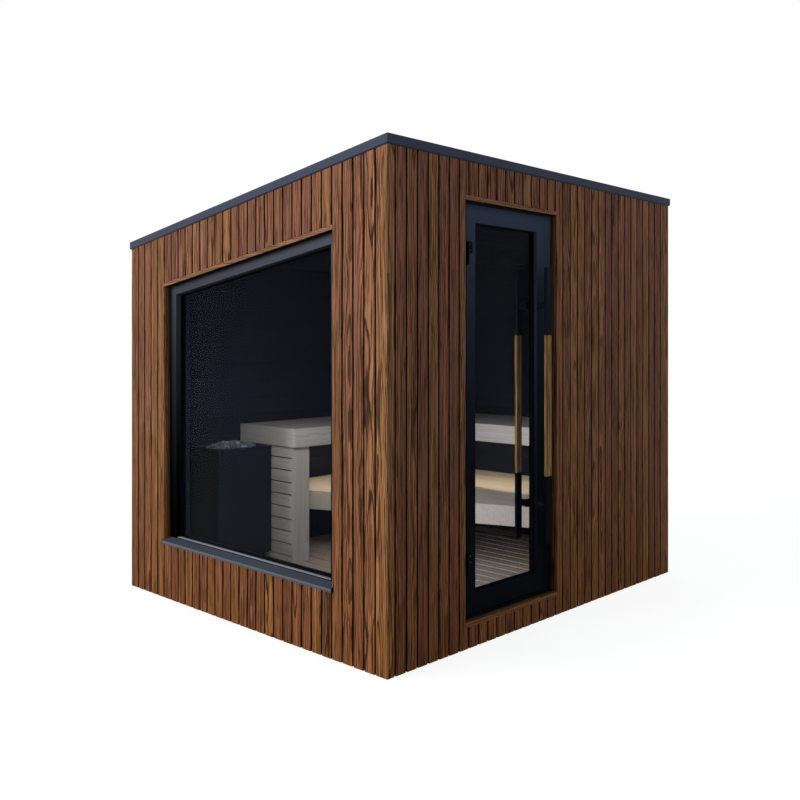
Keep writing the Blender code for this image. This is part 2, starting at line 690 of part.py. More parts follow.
def build_benches():
    wall_x, wall_y = INNER_HALF_WIDTH - FIT, INNER_HALF_DEPTH - FIT
    seat_low = UPPER_BENCH_TOP - UPPER_BENCH_DEPTH
    rear_front = wall_y - REAR_BENCH_SEAT
    rear_left = -INNER_HALF_WIDTH + REAR_BENCH_FROM_WINDOW_WALL
    right_edge = wall_x - RIGHT_BENCH_SEAT
    meeting = rear_front - FIT
    bench("upper_bench_rear", [(rear_left, rear_front), (wall_x, rear_front),
                               (wall_x, wall_y), (rear_left, wall_y)], seat_low, UPPER_BENCH_TOP)
    bench("upper_bench_right", [(right_edge, -wall_y), (wall_x, -wall_y),
                                (wall_x, meeting), (right_edge, meeting)], seat_low, UPPER_BENCH_TOP)
    pier_left = rear_left + PIER_INSET
    pier_right = pier_left + PIER_WIDTH
    lower_left = pier_right + FIT
    slant_start = wall_y - LOWER_BENCH_END
    slant_end = lower_left + LOWER_BENCH_SLANT * (slant_start + wall_y)
    bench("lower_bench", [(slant_end, -wall_y), (wall_x, -wall_y), (wall_x, wall_y),
                          (lower_left, wall_y), (lower_left, slant_start)],
          LOWER_BENCH_TOP - LOWER_BENCH_DEPTH, LOWER_BENCH_TOP)
    build_pier(pier_left, pier_right, rear_front + PIER_SET_BACK, wall_y,
               SLAT_TOP + FIT, seat_low - FIT)
    strip_low = UPPER_BENCH_TOP - BENCH_TOP_BOARD - LIGHT_DEPTH - FIT
    strip_high = strip_low + LIGHT_DEPTH
    inside = BENCH_FASCIA + FIT
    box("bench_light_rear", (rear_left + inside, rear_front + inside, strip_low),
        (wall_x - inside, rear_front + inside + LIGHT_WIDTH, strip_high), LIGHT)
    box("bench_light_right", (right_edge + inside, -wall_y + inside, strip_low),
        (right_edge + inside + LIGHT_WIDTH, meeting - inside, strip_high), LIGHT)


def build_pier(left, right, front, rear, low, high):
    """A boarded pier: boards one over another with a groove between each two."""
    count = int((high - low) / (PIER_BOARD + PIER_GROOVE))
    base_height = high - low - count * (PIER_BOARD + PIER_GROOVE)

    def ring(z, inward):
        x0, x1, y0 = left + inward, right - inward, front + inward
        return [Vector((x0, y0, z)), Vector((x1, y0, z)), Vector((x1, rear, z)), Vector((x0, rear, z))]

    z = low + base_height
    loops = [ring(low, 0.0), ring(z, 0.0)]
    for _ in range(count):
        loops += [ring(z, PIER_GROOVE), ring(z + PIER_GROOVE, PIER_GROOVE), ring(z + PIER_GROOVE, 0.0)]
        z += PIER_GROOVE + PIER_BOARD
        loops.append(ring(z, 0.0))
    loft("bench_pier", loops, BENCH_TIMBER)


# Heater

def build_heater():
    left = -INNER_HALF_WIDTH + HEATER_FROM_WINDOW_WALL
    rear = INNER_HALF_DEPTH - HEATER_FROM_REAR_WALL
    right, front = left + HEATER_WIDTH, rear - HEATER_DEPTH
    foot_low = SLAT_TOP + FIT
    low = foot_low + HEATER_FOOT_HEIGHT
    top = low + HEATER_BODY_HEIGHT
    body = box("heater_body", (left, front, low), (right, rear, top), HEATER_METAL)
    points, faces = [], []
    for x in (left + HEATER_FOOT_INSET, right - HEATER_FOOT_INSET - HEATER_FOOT):
        for y in (front + HEATER_FOOT_INSET, rear - HEATER_FOOT_INSET - HEATER_FOOT):
            add_box(points, faces, (x, y, foot_low),
                    (x + HEATER_FOOT, y + HEATER_FOOT, low + HEATER_FOOT / 2))
    combine(body, add_mesh("heater_feet", points, faces, HEATER_METAL), 'UNION')
    centre = Vector(((left + right) / 2, (front + rear) / 2, 0.0))
    well_low = top - STONE_WELL_DEPTH
    sides = 2 * STONE_SIDES
    loops = []
    for z in (well_low, top + STONE_WELL_DEPTH):
        loops.append([well_point(centre, STONE_WELL_INSET, 1.0, step / sides, z) for step in range(sides)])
    combine(body, loft("heater_well", loops, HEATER_METAL), 'DIFFERENCE')
    build_stones(centre, well_low + FIT, top)


def well_point(centre, inward, size, share, z):
    """A point on the rounded rectangle that lies one distance in from the heater's sides."""
    angle = 2 * pi * share
    half_width, half_depth = HEATER_WIDTH / 2 - inward, HEATER_DEPTH / 2 - inward
    across, along = [copysign(abs(value) ** WELL_ROUNDING, value) for value in (cos(angle), sin(angle))]
    return Vector((centre.x + half_width * size * across, centre.y + half_depth * size * along, z))


def build_stones(centre, low, rim):
    """The heap of stones: a lumpy dome that fills the heater's well."""
    inward = STONE_WELL_INSET + STONE_LUMP
    shares = [step / STONE_SIDES for step in range(STONE_SIDES)]
    loops = [[well_point(centre, inward, 1.0, share, low) for share in shares]]
    for number in range(STONE_RINGS):
        rise = number / STONE_RINGS * pi / 2
        crown = rim + STONE_HEAP_RISE * sin(rise)
        lump = STONE_LUMP * cos(rise) * (-1) ** number
        loops.append([
            well_point(centre, inward, cos(rise), share, crown + lump * sin(2 * pi * STONE_LUMPS_ROUND * share))
            for share in shares
        ])
    heap = loft("heater_stones", loops, STONE)
    heap.data.shade_smooth()
    heap.data.set_sharp_from_angle(angle=pi / 4)


clear_scene()
TIMBER = finish("heat treated timber", (0.19, 0.08, 0.035), 0.6)
LINING = finish("dark lining", (0.012, 0.014, 0.020), 0.6)
BASE_TIMBER = finish("base timber", (0.20, 0.13, 0.08), 0.8)
FLOOR_TIMBER = finish("floor timber", (0.30, 0.24, 0.19), 0.7)
ROOFING = finish("roofing sheet", (0.03, 0.035, 0.045), 0.7)
DARK_METAL = finish("anthracite metal", (0.025, 0.030, 0.040), 0.45, 0.3)
SILL_METAL = finish("sill metal", (0.060, 0.075, 0.095), 0.40, 0.4)
BLACK_METAL = finish("black metal", (0.010, 0.011, 0.014), 0.45, 0.3)
GLASS = finish("tinted glass", (0.08, 0.10, 0.12), 0.02)
GRIP_TIMBER = finish("oak grip", (0.20, 0.13, 0.06), 0.5)
BENCH_TIMBER = finish("bench timber", (0.42, 0.37, 0.32), 0.65)
LIGHT = finish("light diffuser", (0.95, 0.85, 0.60), 0.5)
HEATER_METAL = finish("heater metal", (0.010, 0.012, 0.018), 0.5, 0.3)
STONE = finish("heater stone", (0.22, 0.22, 0.23), 0.85)

build_cladding()
build_walls()
build_base()
build_floor_slats()
build_roof()
build_window()
build_sill()
build_door()
build_benches()
build_heater()
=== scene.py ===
"""Looks of the outdoor sauna cabin: single cladding boards, folded metal, glazing, lining boards,
benches, heater and stones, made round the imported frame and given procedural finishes.

Metres. The front with the door faces -Y, the window side faces -X, and the roof falls towards +Y.
"""
import json
from math import copysign, cos, pi, radians, sin
from random import Random

import bmesh
import bpy
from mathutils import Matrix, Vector


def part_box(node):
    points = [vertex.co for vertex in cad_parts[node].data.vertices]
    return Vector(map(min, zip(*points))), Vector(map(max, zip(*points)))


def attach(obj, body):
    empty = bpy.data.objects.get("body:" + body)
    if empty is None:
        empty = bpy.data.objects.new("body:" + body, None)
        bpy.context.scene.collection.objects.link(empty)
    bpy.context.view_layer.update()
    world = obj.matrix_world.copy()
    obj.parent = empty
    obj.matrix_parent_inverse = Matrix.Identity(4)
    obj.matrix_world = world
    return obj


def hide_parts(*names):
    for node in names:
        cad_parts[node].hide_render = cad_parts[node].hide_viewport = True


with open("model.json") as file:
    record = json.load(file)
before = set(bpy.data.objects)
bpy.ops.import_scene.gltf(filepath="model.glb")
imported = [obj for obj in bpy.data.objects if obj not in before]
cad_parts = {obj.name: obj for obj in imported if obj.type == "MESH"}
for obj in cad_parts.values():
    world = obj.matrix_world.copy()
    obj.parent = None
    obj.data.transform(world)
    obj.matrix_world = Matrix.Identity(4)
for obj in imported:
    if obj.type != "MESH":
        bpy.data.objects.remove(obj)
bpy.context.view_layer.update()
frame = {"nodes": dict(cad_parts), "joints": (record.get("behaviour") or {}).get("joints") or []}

# Axes, how close coordinates are when they count as one, and how many points an eased corner has
X, Y, Z = 0, 1, 2
SAME = 0.0004
CORNER_POINTS = 3

# Edges and joints
BOARD_EASE = 0.0016
HEAD_BOARD_EASE = 0.0025
LINING_EASE = 0.0030
METAL_EASE = 0.0014
BENCH_EASE = 0.0030
SLAT_EASE = 0.0035
FINE_EASE = 0.0008
HIDDEN_EASE = 0.001
HAIRLINE = 0.00012

# Cladding boards on a dark backing
BACKING_DEPTH = 0.0120
BACKING_SHORT = 0.0090
BOARD_PLAY = 0.0007
BOARD_CUT_PLAY = 0.0008

# Lining boards inside, and how far a cut board runs on towards its point
LINING_PITCH = 0.110
LINING_DEPTH = 0.0120
LINING_GAP = 0.0022
POINT_REACH = 0.98

# Floor, benches and their boards
FLOOR_BOARDS = 12
FLOOR_BOARD_GAP = 0.0006
BEARER_SHORT = 0.02
SEAT_BOARD = 0.094
SEAT_GAP = 0.0025
FASCIA_DEPTH = 0.028
SEAT_DEPTH = 0.028
SEAT_EASE = 0.0016
PIER_POST = 0.020

# Glazing: panes, the spacer between them, and the rubber lines on both sides
PANE = 0.004
PANE_EASE = 0.0003
FIT = 0.0002
SPACER_INSET = 0.002
SPACER_WIDTH = 0.008
GASKET_DEPTH = 0.003
GASKET_FOOT = 0.0003
GASKET_LEAN = 0.0016

# Folded sheet metal
SHEET = 0.0015
LIP = 0.006
NOSE_EASE = 0.0012
SILL_SHEET = 0.0020
STOP_END = 0.0016

# Roof membrane in strips that lap, below the trim's flange
STRIPS = 2
LAP = 0.060
MEMBRANE_DEPTHS = (0.0002, 0.0012, 0.0038)

# Door: bead and back edge of the leaf, square roses of the handles, and hinge plates
LEAF_BEAD = 0.030
LEAF_BACK = 0.041
LEAF_BEVEL = 0.040
ROSE = 0.004
ROSE_DEPTH = 0.0030
PIN_GAP = 0.002
PLATE = 0.0058

# Heater and stones
CASE_ROUNDING = 0.007
RIM_HEIGHT = 0.024
WELL_DEPTH = 0.050
WELL_MARGIN = 0.008
FOOT_INSET = 0.030
FOOT_SIZE = 0.040
STONE_COUNT = 70
STONE_FLATS = 7
STONE_SMALLEST = 0.019
STONE_LARGEST = 0.031
WELL_ROUNDING = 0.55
GOLDEN_TURN = 2.39996

# Photograph: level view, two-point perspective, lens shifted down
CAMERA_PLACE = (-3.9099, -3.7252, 1.4312)
CAMERA_TURN = -45.94
CAMERA_LENS = 40.43
CAMERA_SENSOR = 36.0
CAMERA_SHIFT = (-0.000625, -0.0740)


# Reading the frame

def corners_of(node):
    """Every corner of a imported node."""
    return [vertex.co.copy() for vertex in frame["nodes"][node].data.vertices]


def levels(points, axis):
    """The different coordinates that points have along one axis, in order."""
    found = []
    for value in sorted(point[axis] for point in points):
        if not found or value - found[-1] > SAME:
            found.append(value)
    return found


def paired(values):
    """Values taken two by two."""
    return list(zip(values[::2], values[1::2]))


def spans(points, axis):
    """Where each of a row of like pieces starts and ends along one axis."""
    return paired(levels(points, axis))


def near(points, axis, value):
    """The points that lie at one coordinate."""
    return [point for point in points if abs(point[axis] - value) < SAME]


def raised(level):
    """A shape for a piece made flat, which lifts its points by a level that changes along Y."""
    def lift(point):
        point.z += level(point.y)
        return point

    return lift


def rectangle(low, high, across, up):
    """The outline of a box along two axes, counterclockwise."""
    left, right, bottom, top = low[across], high[across], low[up], high[up]
    return [(left, bottom), (right, bottom), (right, top), (left, top)]


def sloping(points, pick):
    """The upper or lower edge of points as a level that changes evenly along Y."""
    front, rear = levels(points, Y)[0], levels(points, Y)[-1]
    start = pick(point.z for point in near(points, Y, front))
    end = pick(point.z for point in near(points, Y, rear))
    return lambda y: start + (end - start) * (y - front) / (rear - front)


HALF_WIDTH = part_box("cladding_right")[1].x
HALF_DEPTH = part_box("cladding_rear")[1].y
CLADDING_DEPTH = HALF_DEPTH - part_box("cladding_rear")[0].y
WALL_FACE = HALF_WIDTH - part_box("right_wall")[0].x
WALL_BACK = HALF_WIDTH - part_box("right_wall")[1].x
ROOF = sloping(corners_of("roof_sheet"), max)
WALL_TOP = sloping(corners_of("right_wall"), max)
CEILING = sloping(corners_of("ceiling"), min)

SIDE_AXES = {"front": (X, Y), "rear": (X, Y), "left": (Y, X), "right": (Y, X)}
SIDE_FACES = {"front": -HALF_DEPTH, "rear": HALF_DEPTH, "left": -HALF_WIDTH, "right": HALF_WIDTH}


def side_point(side, along, height, inward):
    """A point from its place along a side, its height, and its distance in from the boards' face."""
    run, through = SIDE_AXES[side]
    point = Vector((0.0, 0.0, height))
    point[run] = along
    face = SIDE_FACES[side]
    point[through] = face - inward if face > 0 else face + inward
    return point


def side_box(side, start, end, low, high, outside, inside):
    """The two corners of a box given by its place on a side."""
    ends = (side_point(side, start, low, outside), side_point(side, end, high, inside))
    return [Vector([pick(ends[0][axis], ends[1][axis]) for axis in (X, Y, Z)]) for pick in (min, max)]


# Making pieces

def eased(corners, radius):
    """Round the corners of a section. Each point comes with its wear: 1 on the arris, 0 beside it."""
    points = []
    for index, corner in enumerate(corners):
        before, here = Vector(corners[index - 1]), Vector(corner)
        after = Vector(corners[(index + 1) % len(corners)])
        back, on = before - here, after - here
        cut = min(radius, 0.4 * back.length, 0.4 * on.length)
        back, on = back.normalized() * cut, on.normalized() * cut
        points += [(here + back, 0.0), (here + (back + on) / 4, 1.0), (here + on, 0.0)]
    return points


def inset(outline, offsets):
    """Move each edge of an outline, given counterclockwise, inwards by its own distance."""
    lines = []
    for index, corner in enumerate(outline):
        start, end = Vector(corner), Vector(outline[(index + 1) % len(outline)])
        direction = (end - start).normalized()
        lines.append((start + Vector((-direction.y, direction.x)) * offsets[index], direction))
    corners = []
    for index, (other, across) in enumerate(lines):
        point, along = lines[index - 1]
        gap = other - point
        reach = (gap.x * across.y - gap.y * across.x) / (along.x * across.y - along.y * across.x)
        corners.append(point + along * reach)
    return corners


class Stock:
    """Small pieces joined into one object. Each keeps its own grain, tone and worn arrises."""

    def __init__(self, name):
        self.name = name
        self.dice = Random(name)
        self.points = []
        self.faces = []
        self.finishes = []
        self.grain = []
        self.tone = []
        self.wear = []
        self.daylight = []

    def skin(self, loops, run=Z, through=Y, wear=None, finish=0, ring=False, daylight=None):
        """Cover a row of equal loops. The grain follows the axis run, and the piece is thin along through.
        daylight says which points lie on an open side rather than in a slot, where the painted shade falls
        off slowly."""
        size, start = len(loops[0]), len(self.points)
        across = X + Y + Z - run - through
        middle = sum(loops[0], Vector()) / size
        heart = Vector((self.dice.uniform(-0.070, 0.070), self.dice.uniform(0.020, 0.070),
                        self.dice.uniform(0.0, 30.0)))
        tone = self.dice.random()
        for number, loop in enumerate(loops):
            end = not ring and len(loops) > 2 and number in (0, len(loops) - 1)
            for index, point in enumerate(loop):
                place = Vector((point[across] - middle[across], point[through] - middle[through], point[run]))
                self.points.append(point)
                self.grain.append(place + heart)
                self.tone.append(tone)
                self.wear.append(1.0 if end else wear[index] if wear else 0.0)
                self.daylight.append(daylight(point) if daylight else 0.0)
        rows = len(loops) if ring else len(loops) - 1
        made = []
        for row in range(rows):
            here, there = start + row * size, start + (row + 1) % len(loops) * size
            for index in range(size):
                beside = (index + 1) % size
                made.append((here + index, here + beside, there + beside, there + index))
        if not ring:
            made.append(tuple(range(start, start + size)))
            made.append(tuple(range(start + (len(loops) - 1) * size, start + len(loops) * size)))
        self.faces += made
        self.finishes += [finish] * len(made)

    def plank(self, low, high, run, through=None, ease=BOARD_EASE, shape=None, stations=(), finish=0,
              daylight=None):
        """A board between two corners, with eased edges. shape moves its points, as where an end is cut
        to a slope, and stations are further places along it."""
        sides = [axis for axis in (X, Y, Z) if axis != run]
        if through is None:
            through = min(sides, key=lambda axis: high[axis] - low[axis])
        across = sum(sides) - through
        ease = min(ease, 0.4 * min(high[axis] - low[axis] for axis in (X, Y, Z)))
        middle = Vector(((low[across] + high[across]) / 2, (low[through] + high[through]) / 2))
        section = eased(rectangle(low, high, across, through), ease)
        places = [(low[run], ease / 2), (low[run] + ease / 2, 0.0)]
        places += [(place, 0.0) for place in sorted(stations) if low[run] + ease < place < high[run] - ease]
        places += [(high[run] - ease / 2, 0.0), (high[run], ease / 2)]
        loops = []
        for place, shrink in places:
            loop = []
            for point, _ in section:
                gap = point - middle
                drawn = [value - max(-shrink, min(shrink, value)) for value in gap]
                made = Vector()
                made[across], made[through], made[run] = middle[0] + drawn[0], middle[1] + drawn[1], place
                loop.append(shape(made) if shape else made)
            loops.append(loop)
        self.skin(loops, run, through, [wear for _, wear in section], finish, daylight=daylight)

    def mitred(self, side, outline, section, ease=METAL_EASE, extra=(0.0,) * 4, finish=0):
        """Four members that meet in mitres. A section corner is an inset and a depth. It moves with the
        extra width of each member, unless a third value of 0 holds it."""
        moves = [corner[2] if len(corner) > 2 else 1 for corner in section for _ in range(CORNER_POINTS)]
        rings = []
        rounded = eased([corner[:2] for corner in section], ease)
        for (point, _), moving in zip(rounded, moves):
            offsets = [point[0] + moving * more for more in extra]
            rings.append([side_point(side, u, v, point[1]) for u, v in inset(outline, offsets)])
        run, through = SIDE_AXES[side]
        self.members(rings, (run, Z), through, [worn for _, worn in rounded], finish)

    def members(self, rings, runs, through, wear, finish=0):
        """The members of a mitred frame. Each ring is the frame's corners at one point of the section."""
        for member in range(4):
            following = (member + 1) % 4
            along = (rings[0][following] - rings[0][member]).normalized() * HAIRLINE
            loops = [[ring[member] + along for ring in rings], [ring[following] - along for ring in rings]]
            self.skin(loops, runs[member % 2], through, wear, finish)

    def turned(self, centre, axis, profile, sides=20, finish=0, corners=0):
        """A round piece. The profile's steps are a radius and a distance along the axis; a third value
        of 1 gives that step the outline of a socket with so many corners."""
        first, second = [other for other in (X, Y, Z) if other != axis]
        loops = []
        for radius, reach, *kind in profile:
            loop = []
            for step in range(sides):
                angle = 2 * pi * step / sides
                size = radius
                if kind and corners:
                    part = 2 * pi / corners
                    size = radius * cos(part / 2) / cos((angle + part / 2) % part - part / 2)
                point = Vector(centre)
                point[first] += size * cos(angle)
                point[second] += size * sin(angle)
                point[axis] += reach
                loop.append(point)
            loops.append(loop)
        self.skin(loops, axis, first, None, finish)

    def build(self, body, finishes, replaces=(), sharp=50):
        """Turn the stock into one object that rides on a body."""
        mesh = bpy.data.meshes.new(self.name)
        mesh.from_pydata(self.points, [], self.faces)
        grain = mesh.attributes.new("grain", 'FLOAT_VECTOR', 'POINT')
        grain.data.foreach_set("vector", [number for place in self.grain for number in place])
        for name, values in (("tone", self.tone), ("wear", self.wear), ("daylight", self.daylight)):
            mesh.attributes.new(name, 'FLOAT', 'POINT').data.foreach_set("value", values)
        mesh.polygons.foreach_set("material_index", self.finishes)
        shape = bmesh.new()
        shape.from_mesh(mesh)
        bmesh.ops.recalc_face_normals(shape, faces=shape.faces)
        shape.to_mesh(mesh)
        shape.free()
        for finish in finishes:
            mesh.materials.append(finish)
        mesh.shade_smooth()
        mesh.set_sharp_from_angle(angle=radians(sharp))
        item = placed(self.name, mesh)
        even = item.modifiers.new("even shading", 'WEIGHTED_NORMAL')
        even.keep_sharp = True
        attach(item, body)
        if replaces:
            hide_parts(*replaces)
        return item


def placed(name, data):
    """A new object in the scene."""
    item = bpy.data.objects.new(name, data)
    bpy.context.scene.collection.objects.link(item)
    return item
# Node helpers

class Nodes:
    """Adds shader nodes to a tree and feeds their inputs with values or with other nodes' outputs."""

    def __init__(self, tree):
        self.tree = tree

    def feed(self, socket, value):
        if isinstance(value, bpy.types.NodeSocket):
            self.tree.links.new(value, socket)
        else:
            socket.default_value = value

    def add(self, kind, inputs=None, output=0, **settings):
        node = self.tree.nodes.new("ShaderNode" + kind)
        for name, value in settings.items():
            setattr(node, name, value)
        for name, value in (inputs or {}).items():
            self.feed(node.inputs[name], value)
        return node.outputs[output]

    def math(self, operation, first, second=0.0):
        return self.add("Math", {0: first, 1: second}, operation=operation)

    def vector(self, operation, first, second):
        return self.add("VectorMath", {0: first, 1: second}, operation=operation)

    def noise(self, place, scale=1.0, detail=2.0, output="Fac", **inputs):
        return self.add("TexNoise", {"Vector": place, "Scale": scale, "Detail": detail, **inputs}, output)

    def streaks(self, place, scales, **settings):
        """Noise drawn out along the grain."""
        return self.noise(self.vector('MULTIPLY', place, scales), **settings)

    def scale(self, vector, factor):
        return self.add("VectorMath", {0: vector, "Scale": factor}, operation='SCALE')

    def product(self, first, *others):
        for other in others:
            first = self.math('MULTIPLY', first, other)
        return first

    def weighted(self, first, *others):
        """A value, or a value with its share, and the others added in order, each times its share."""
        total = self.product(*first) if isinstance(first, tuple) else first
        for value, share in others:
            total = self.math('ADD', total, self.math('MULTIPLY', value, share))
        return total

    def place(self):
        """Where a point lies in the part's own frame."""
        return self.add("TexCoord", output="Object")

    def height(self, place):
        return self.add("SeparateXYZ", {"Vector": place}, "Z")

    def span(self, value, start, end, low=0.0, high=1.0, smooth=True):
        """Map start..end to low..high, held at both ends."""
        kind = 'SMOOTHSTEP' if smooth else 'LINEAR'
        inputs = {"Value": value, "From Min": start, "From Max": end, "To Min": low, "To Max": high}
        return self.add("MapRange", inputs, interpolation_type=kind)

    def blend(self, factor, first, second, how='MIX'):
        return self.add("Mix", {0: factor, 6: first, 7: second}, 2, data_type='RGBA', blend_type=how)

    def ramp(self, value, stops):
        node = self.tree.nodes.new("ShaderNodeValToRGB")
        while len(node.color_ramp.elements) < len(stops):
            node.color_ramp.elements.new(0.5)
        for element, (place, colour) in zip(node.color_ramp.elements, stops):
            element.position = place
            element.color = (*colour, 1.0)
        self.feed(node.inputs["Fac"], value)
        return node.outputs["Color"]

    def field(self, name, output="Fac"):
        return self.add("Attribute", output=output, attribute_name=name)

    def use(self, group, inputs):
        node = self.tree.nodes.new("ShaderNodeGroup")
        node.node_tree = group
        for name, value in inputs.items():
            self.feed(node.inputs[name], value)
        return node.outputs


def effect(name, inputs, outputs):
    """A node group: its tree's helper, its inputs' sockets and its outputs' sockets."""
    tree = bpy.data.node_groups.new(name, "ShaderNodeTree")
    for label, kind, value in inputs:
        made = tree.interface.new_socket(name=label, in_out='INPUT', socket_type="NodeSocket" + kind)
        if value is not None:
            made.default_value = value
    for label, kind in outputs:
        tree.interface.new_socket(name=label, in_out='OUTPUT', socket_type="NodeSocket" + kind)
    source = tree.nodes.new("NodeGroupInput")
    sink = tree.nodes.new("NodeGroupOutput")
    return tree, Nodes(tree), source.outputs, sink.inputs


def grown_timber():
    """Growth rings round a wandering heart, cut by the board's faces, with streaks, fibres and knots."""
    tree, nodes, given, shown = effect(
        "grown timber",
        [("Grain", "Vector", None), ("Tone", "Float", 0.5), ("Early", "Color", None), ("Late", "Color", None),
         ("Ring", "Float", 0.006), ("Wander", "Float", 0.030), ("Contrast", "Float", 0.9),
         ("Fibre", "Float", 0.25), ("Veins", "Float", 0.0), ("Knots", "Float", 1.0)],
        [("Color", "Color"), ("Height", "Float"), ("Late Wood", "Float")])
    grain, knots = given["Grain"], given["Knots"]
    slow = nodes.streaks(grain, (4.0, 4.0, 1.1), output="Color")
    drift = nodes.vector('MULTIPLY', nodes.vector('SUBTRACT', slow, (0.5, 0.5, 0.5)), (2.0, 2.0, 0.0))
    wandered = nodes.vector('ADD', grain, nodes.scale(drift, given["Wander"]))
    flat = nodes.vector('MULTIPLY', wandered, (1.0, 1.0, 0.0))
    distance = nodes.add("VectorMath", {0: flat}, "Value", operation='LENGTH')
    stretched = nodes.vector('MULTIPLY', grain, (7.5, 0.01, 1.9))
    lumps = nodes.add("TexVoronoi", {"Vector": stretched, "Scale": 1.0}, "Distance")
    swell = nodes.product(nodes.span(lumps, 0.36, 0.02), knots)
    wave = nodes.streaks(grain, (40.0, 40.0, 4.5))
    ripple = nodes.streaks(grain, (150.0, 150.0, 22.0))
    distance = nodes.weighted(distance, (swell, 0.020), (wave, 0.0080), (ripple, 0.0018))

    turns = nodes.math('DIVIDE', distance, given["Ring"])
    part = nodes.math('FRACT', turns)
    ring = nodes.math('SUBTRACT', nodes.span(part, 0.40, 0.78), nodes.span(part, 0.92, 1.0))
    year = nodes.weighted(nodes.math('FLOOR', turns), (given["Tone"], 97.0))
    chance = nodes.add("TexWhiteNoise", {"W": year}, noise_dimensions='1D')
    late = nodes.product(ring, nodes.span(chance, 0.0, 1.0, 0.40, 1.0), given["Contrast"])

    fibres = nodes.streaks(grain, (800.0, 800.0, 11.0), detail=1.0)
    fine = nodes.streaks(grain, (230.0, 230.0, 2.6), detail=1.0)
    broad = nodes.streaks(grain, (75.0, 75.0, 1.2), detail=1.0)
    light = nodes.weighted((fine, 0.60), (broad, 0.25), (fibres, 0.15))
    shift = nodes.product(nodes.span(light, 0.36, 0.64, -1.0, 1.0), given["Fibre"])
    vein = nodes.streaks(nodes.vector('ADD', grain, (3.0, 7.0, 0.0)), (195.0, 195.0, 5.0))
    dark = nodes.product(nodes.span(vein, 0.53, 0.62), given["Veins"])
    knot = nodes.product(nodes.span(lumps, 0.075, 0.040), knots, 0.85)
    deep = nodes.math('MAXIMUM', dark, knot)

    colour = nodes.blend(late, given["Early"], given["Late"])
    colour = nodes.blend(deep, colour, nodes.vector('MULTIPLY', given["Late"], (0.75, 0.75, 0.75)))
    nodes.feed(shown["Color"], nodes.scale(colour, nodes.math('ADD', shift, 1.0)))
    relief = nodes.weighted((late, 0.45), (fine, 0.35), (fibres, 0.20))
    nodes.feed(shown["Height"], nodes.math('SUBTRACT', relief, nodes.math('MULTIPLY', deep, 0.5)))
    nodes.feed(shown["Late Wood"], late)
    return tree


def worn_arris():
    """A broken line of wear along the arrises."""
    tree, nodes, given, shown = effect(
        "worn arris", [("Place", "Vector", None), ("Wear", "Float", 0.0), ("Amount", "Float", 0.5)],
        [("Mask", "Float")])
    patches = nodes.span(nodes.noise(given["Place"], 38.0, 3.0), 0.35, 0.65)
    nodes.feed(shown["Mask"], nodes.product(given["Wear"], patches, given["Amount"]))
    return tree


def powder_coat():
    """The fine skin of a powder coat: orange peel, a faint cloudiness and settled dust. Foot and Head
    scale the paint near the ground and at the top of the door: painted light, darker low, lighter up high."""
    tree, nodes, given, shown = effect(
        "powder coat",
        [("Place", "Vector", None), ("Paint", "Color", None), ("Dust", "Color", (0.35, 0.35, 0.36, 1.0)),
         ("Roughness", "Float", 0.45), ("Foot", "Float", 1.0), ("Head", "Float", 1.0)],
        [("Color", "Color"), ("Roughness", "Float"), ("Height", "Float")])
    place = given["Place"]
    # Painted light: the paint is scaled with height, from Foot near the ground to Head at the top of the
    # door.
    height = nodes.span(nodes.height(place), 0.15, 2.05, smooth=False)
    reach = nodes.math('SUBTRACT', given["Head"], given["Foot"])
    lift = nodes.math('ADD', nodes.math('MULTIPLY', nodes.math('POWER', height, 3.0), reach), given["Foot"])
    cloud = nodes.noise(place, 6.0, 4.0)
    dust = nodes.span(nodes.noise(place, 14.0, 5.0), 0.52, 0.80, 0.0, 0.0015)
    shade = nodes.span(cloud, 0.2, 0.8, 0.97, 1.03)
    paint = nodes.scale(given["Paint"], nodes.math('MULTIPLY', shade, lift))
    nodes.feed(shown["Color"], nodes.blend(dust, paint, given["Dust"]))
    rough = nodes.math('ADD', given["Roughness"], nodes.span(cloud, 0.2, 0.8, -0.05, 0.07))
    nodes.feed(shown["Roughness"], nodes.math('ADD', rough, dust))
    nodes.feed(shown["Height"], nodes.noise(place, 900.0, 1.0))
    return tree


def slot_shade():
    """Painted shade: boards darken with the distance in from the face, at once in a slot, slowly on a reveal.
    """
    tree, nodes, given, shown = effect(
        "slot shade", [("Place", "Vector", None), ("Daylight", "Float", 0.0)], [("Light", "Float")])
    away = nodes.add("VectorMath", {0: given["Place"]}, operation='ABSOLUTE')
    inward = nodes.vector('SUBTRACT', (HALF_WIDTH, HALF_DEPTH, 0.0), away)
    parts = nodes.add("SeparateXYZ", {"Vector": inward}, "X").node.outputs
    least = nodes.math('MINIMUM', parts["X"], parts["Y"])
    slot = nodes.span(least, 0.0008, 0.0028, 1.0, 0.03)
    reveal = nodes.span(least, 0.0010, CLADDING_DEPTH, 1.0, 0.18)
    gain = nodes.math('MULTIPLY', nodes.math('SUBTRACT', reveal, slot), given["Daylight"])
    nodes.feed(shown["Light"], nodes.math('ADD', slot, gain))
    return tree


TIMBER_GRAIN = grown_timber()
WORN_ARRIS = worn_arris()
POWDER_COAT = powder_coat()
SLOT_SHADE = slot_shade()


# Materials

def new_material(name):
    """A material, its tree's helper, and the inputs of its shader."""
    material = bpy.data.materials.new(name)
    material.use_nodes = True
    tree = material.node_tree
    return material, Nodes(tree), tree.nodes["Principled BSDF"].inputs


def finished(nodes, shader, base, rough, gloss=None, height=None, relief=0.0, metallic=None):
    """Feed the shader's inputs. height goes through a bump whose distance is relief."""
    nodes.feed(shader["Base Color"], base)
    nodes.feed(shader["Roughness"], rough)
    if height is not None:
        bump = nodes.add("Bump", {"Height": height, "Distance": relief, "Strength": 1.0})
        nodes.feed(shader["Normal"], bump)
    if gloss is not None:
        nodes.feed(shader["Specular IOR Level"], gloss)
    if metallic is not None:
        nodes.feed(shader["Metallic"], metallic)


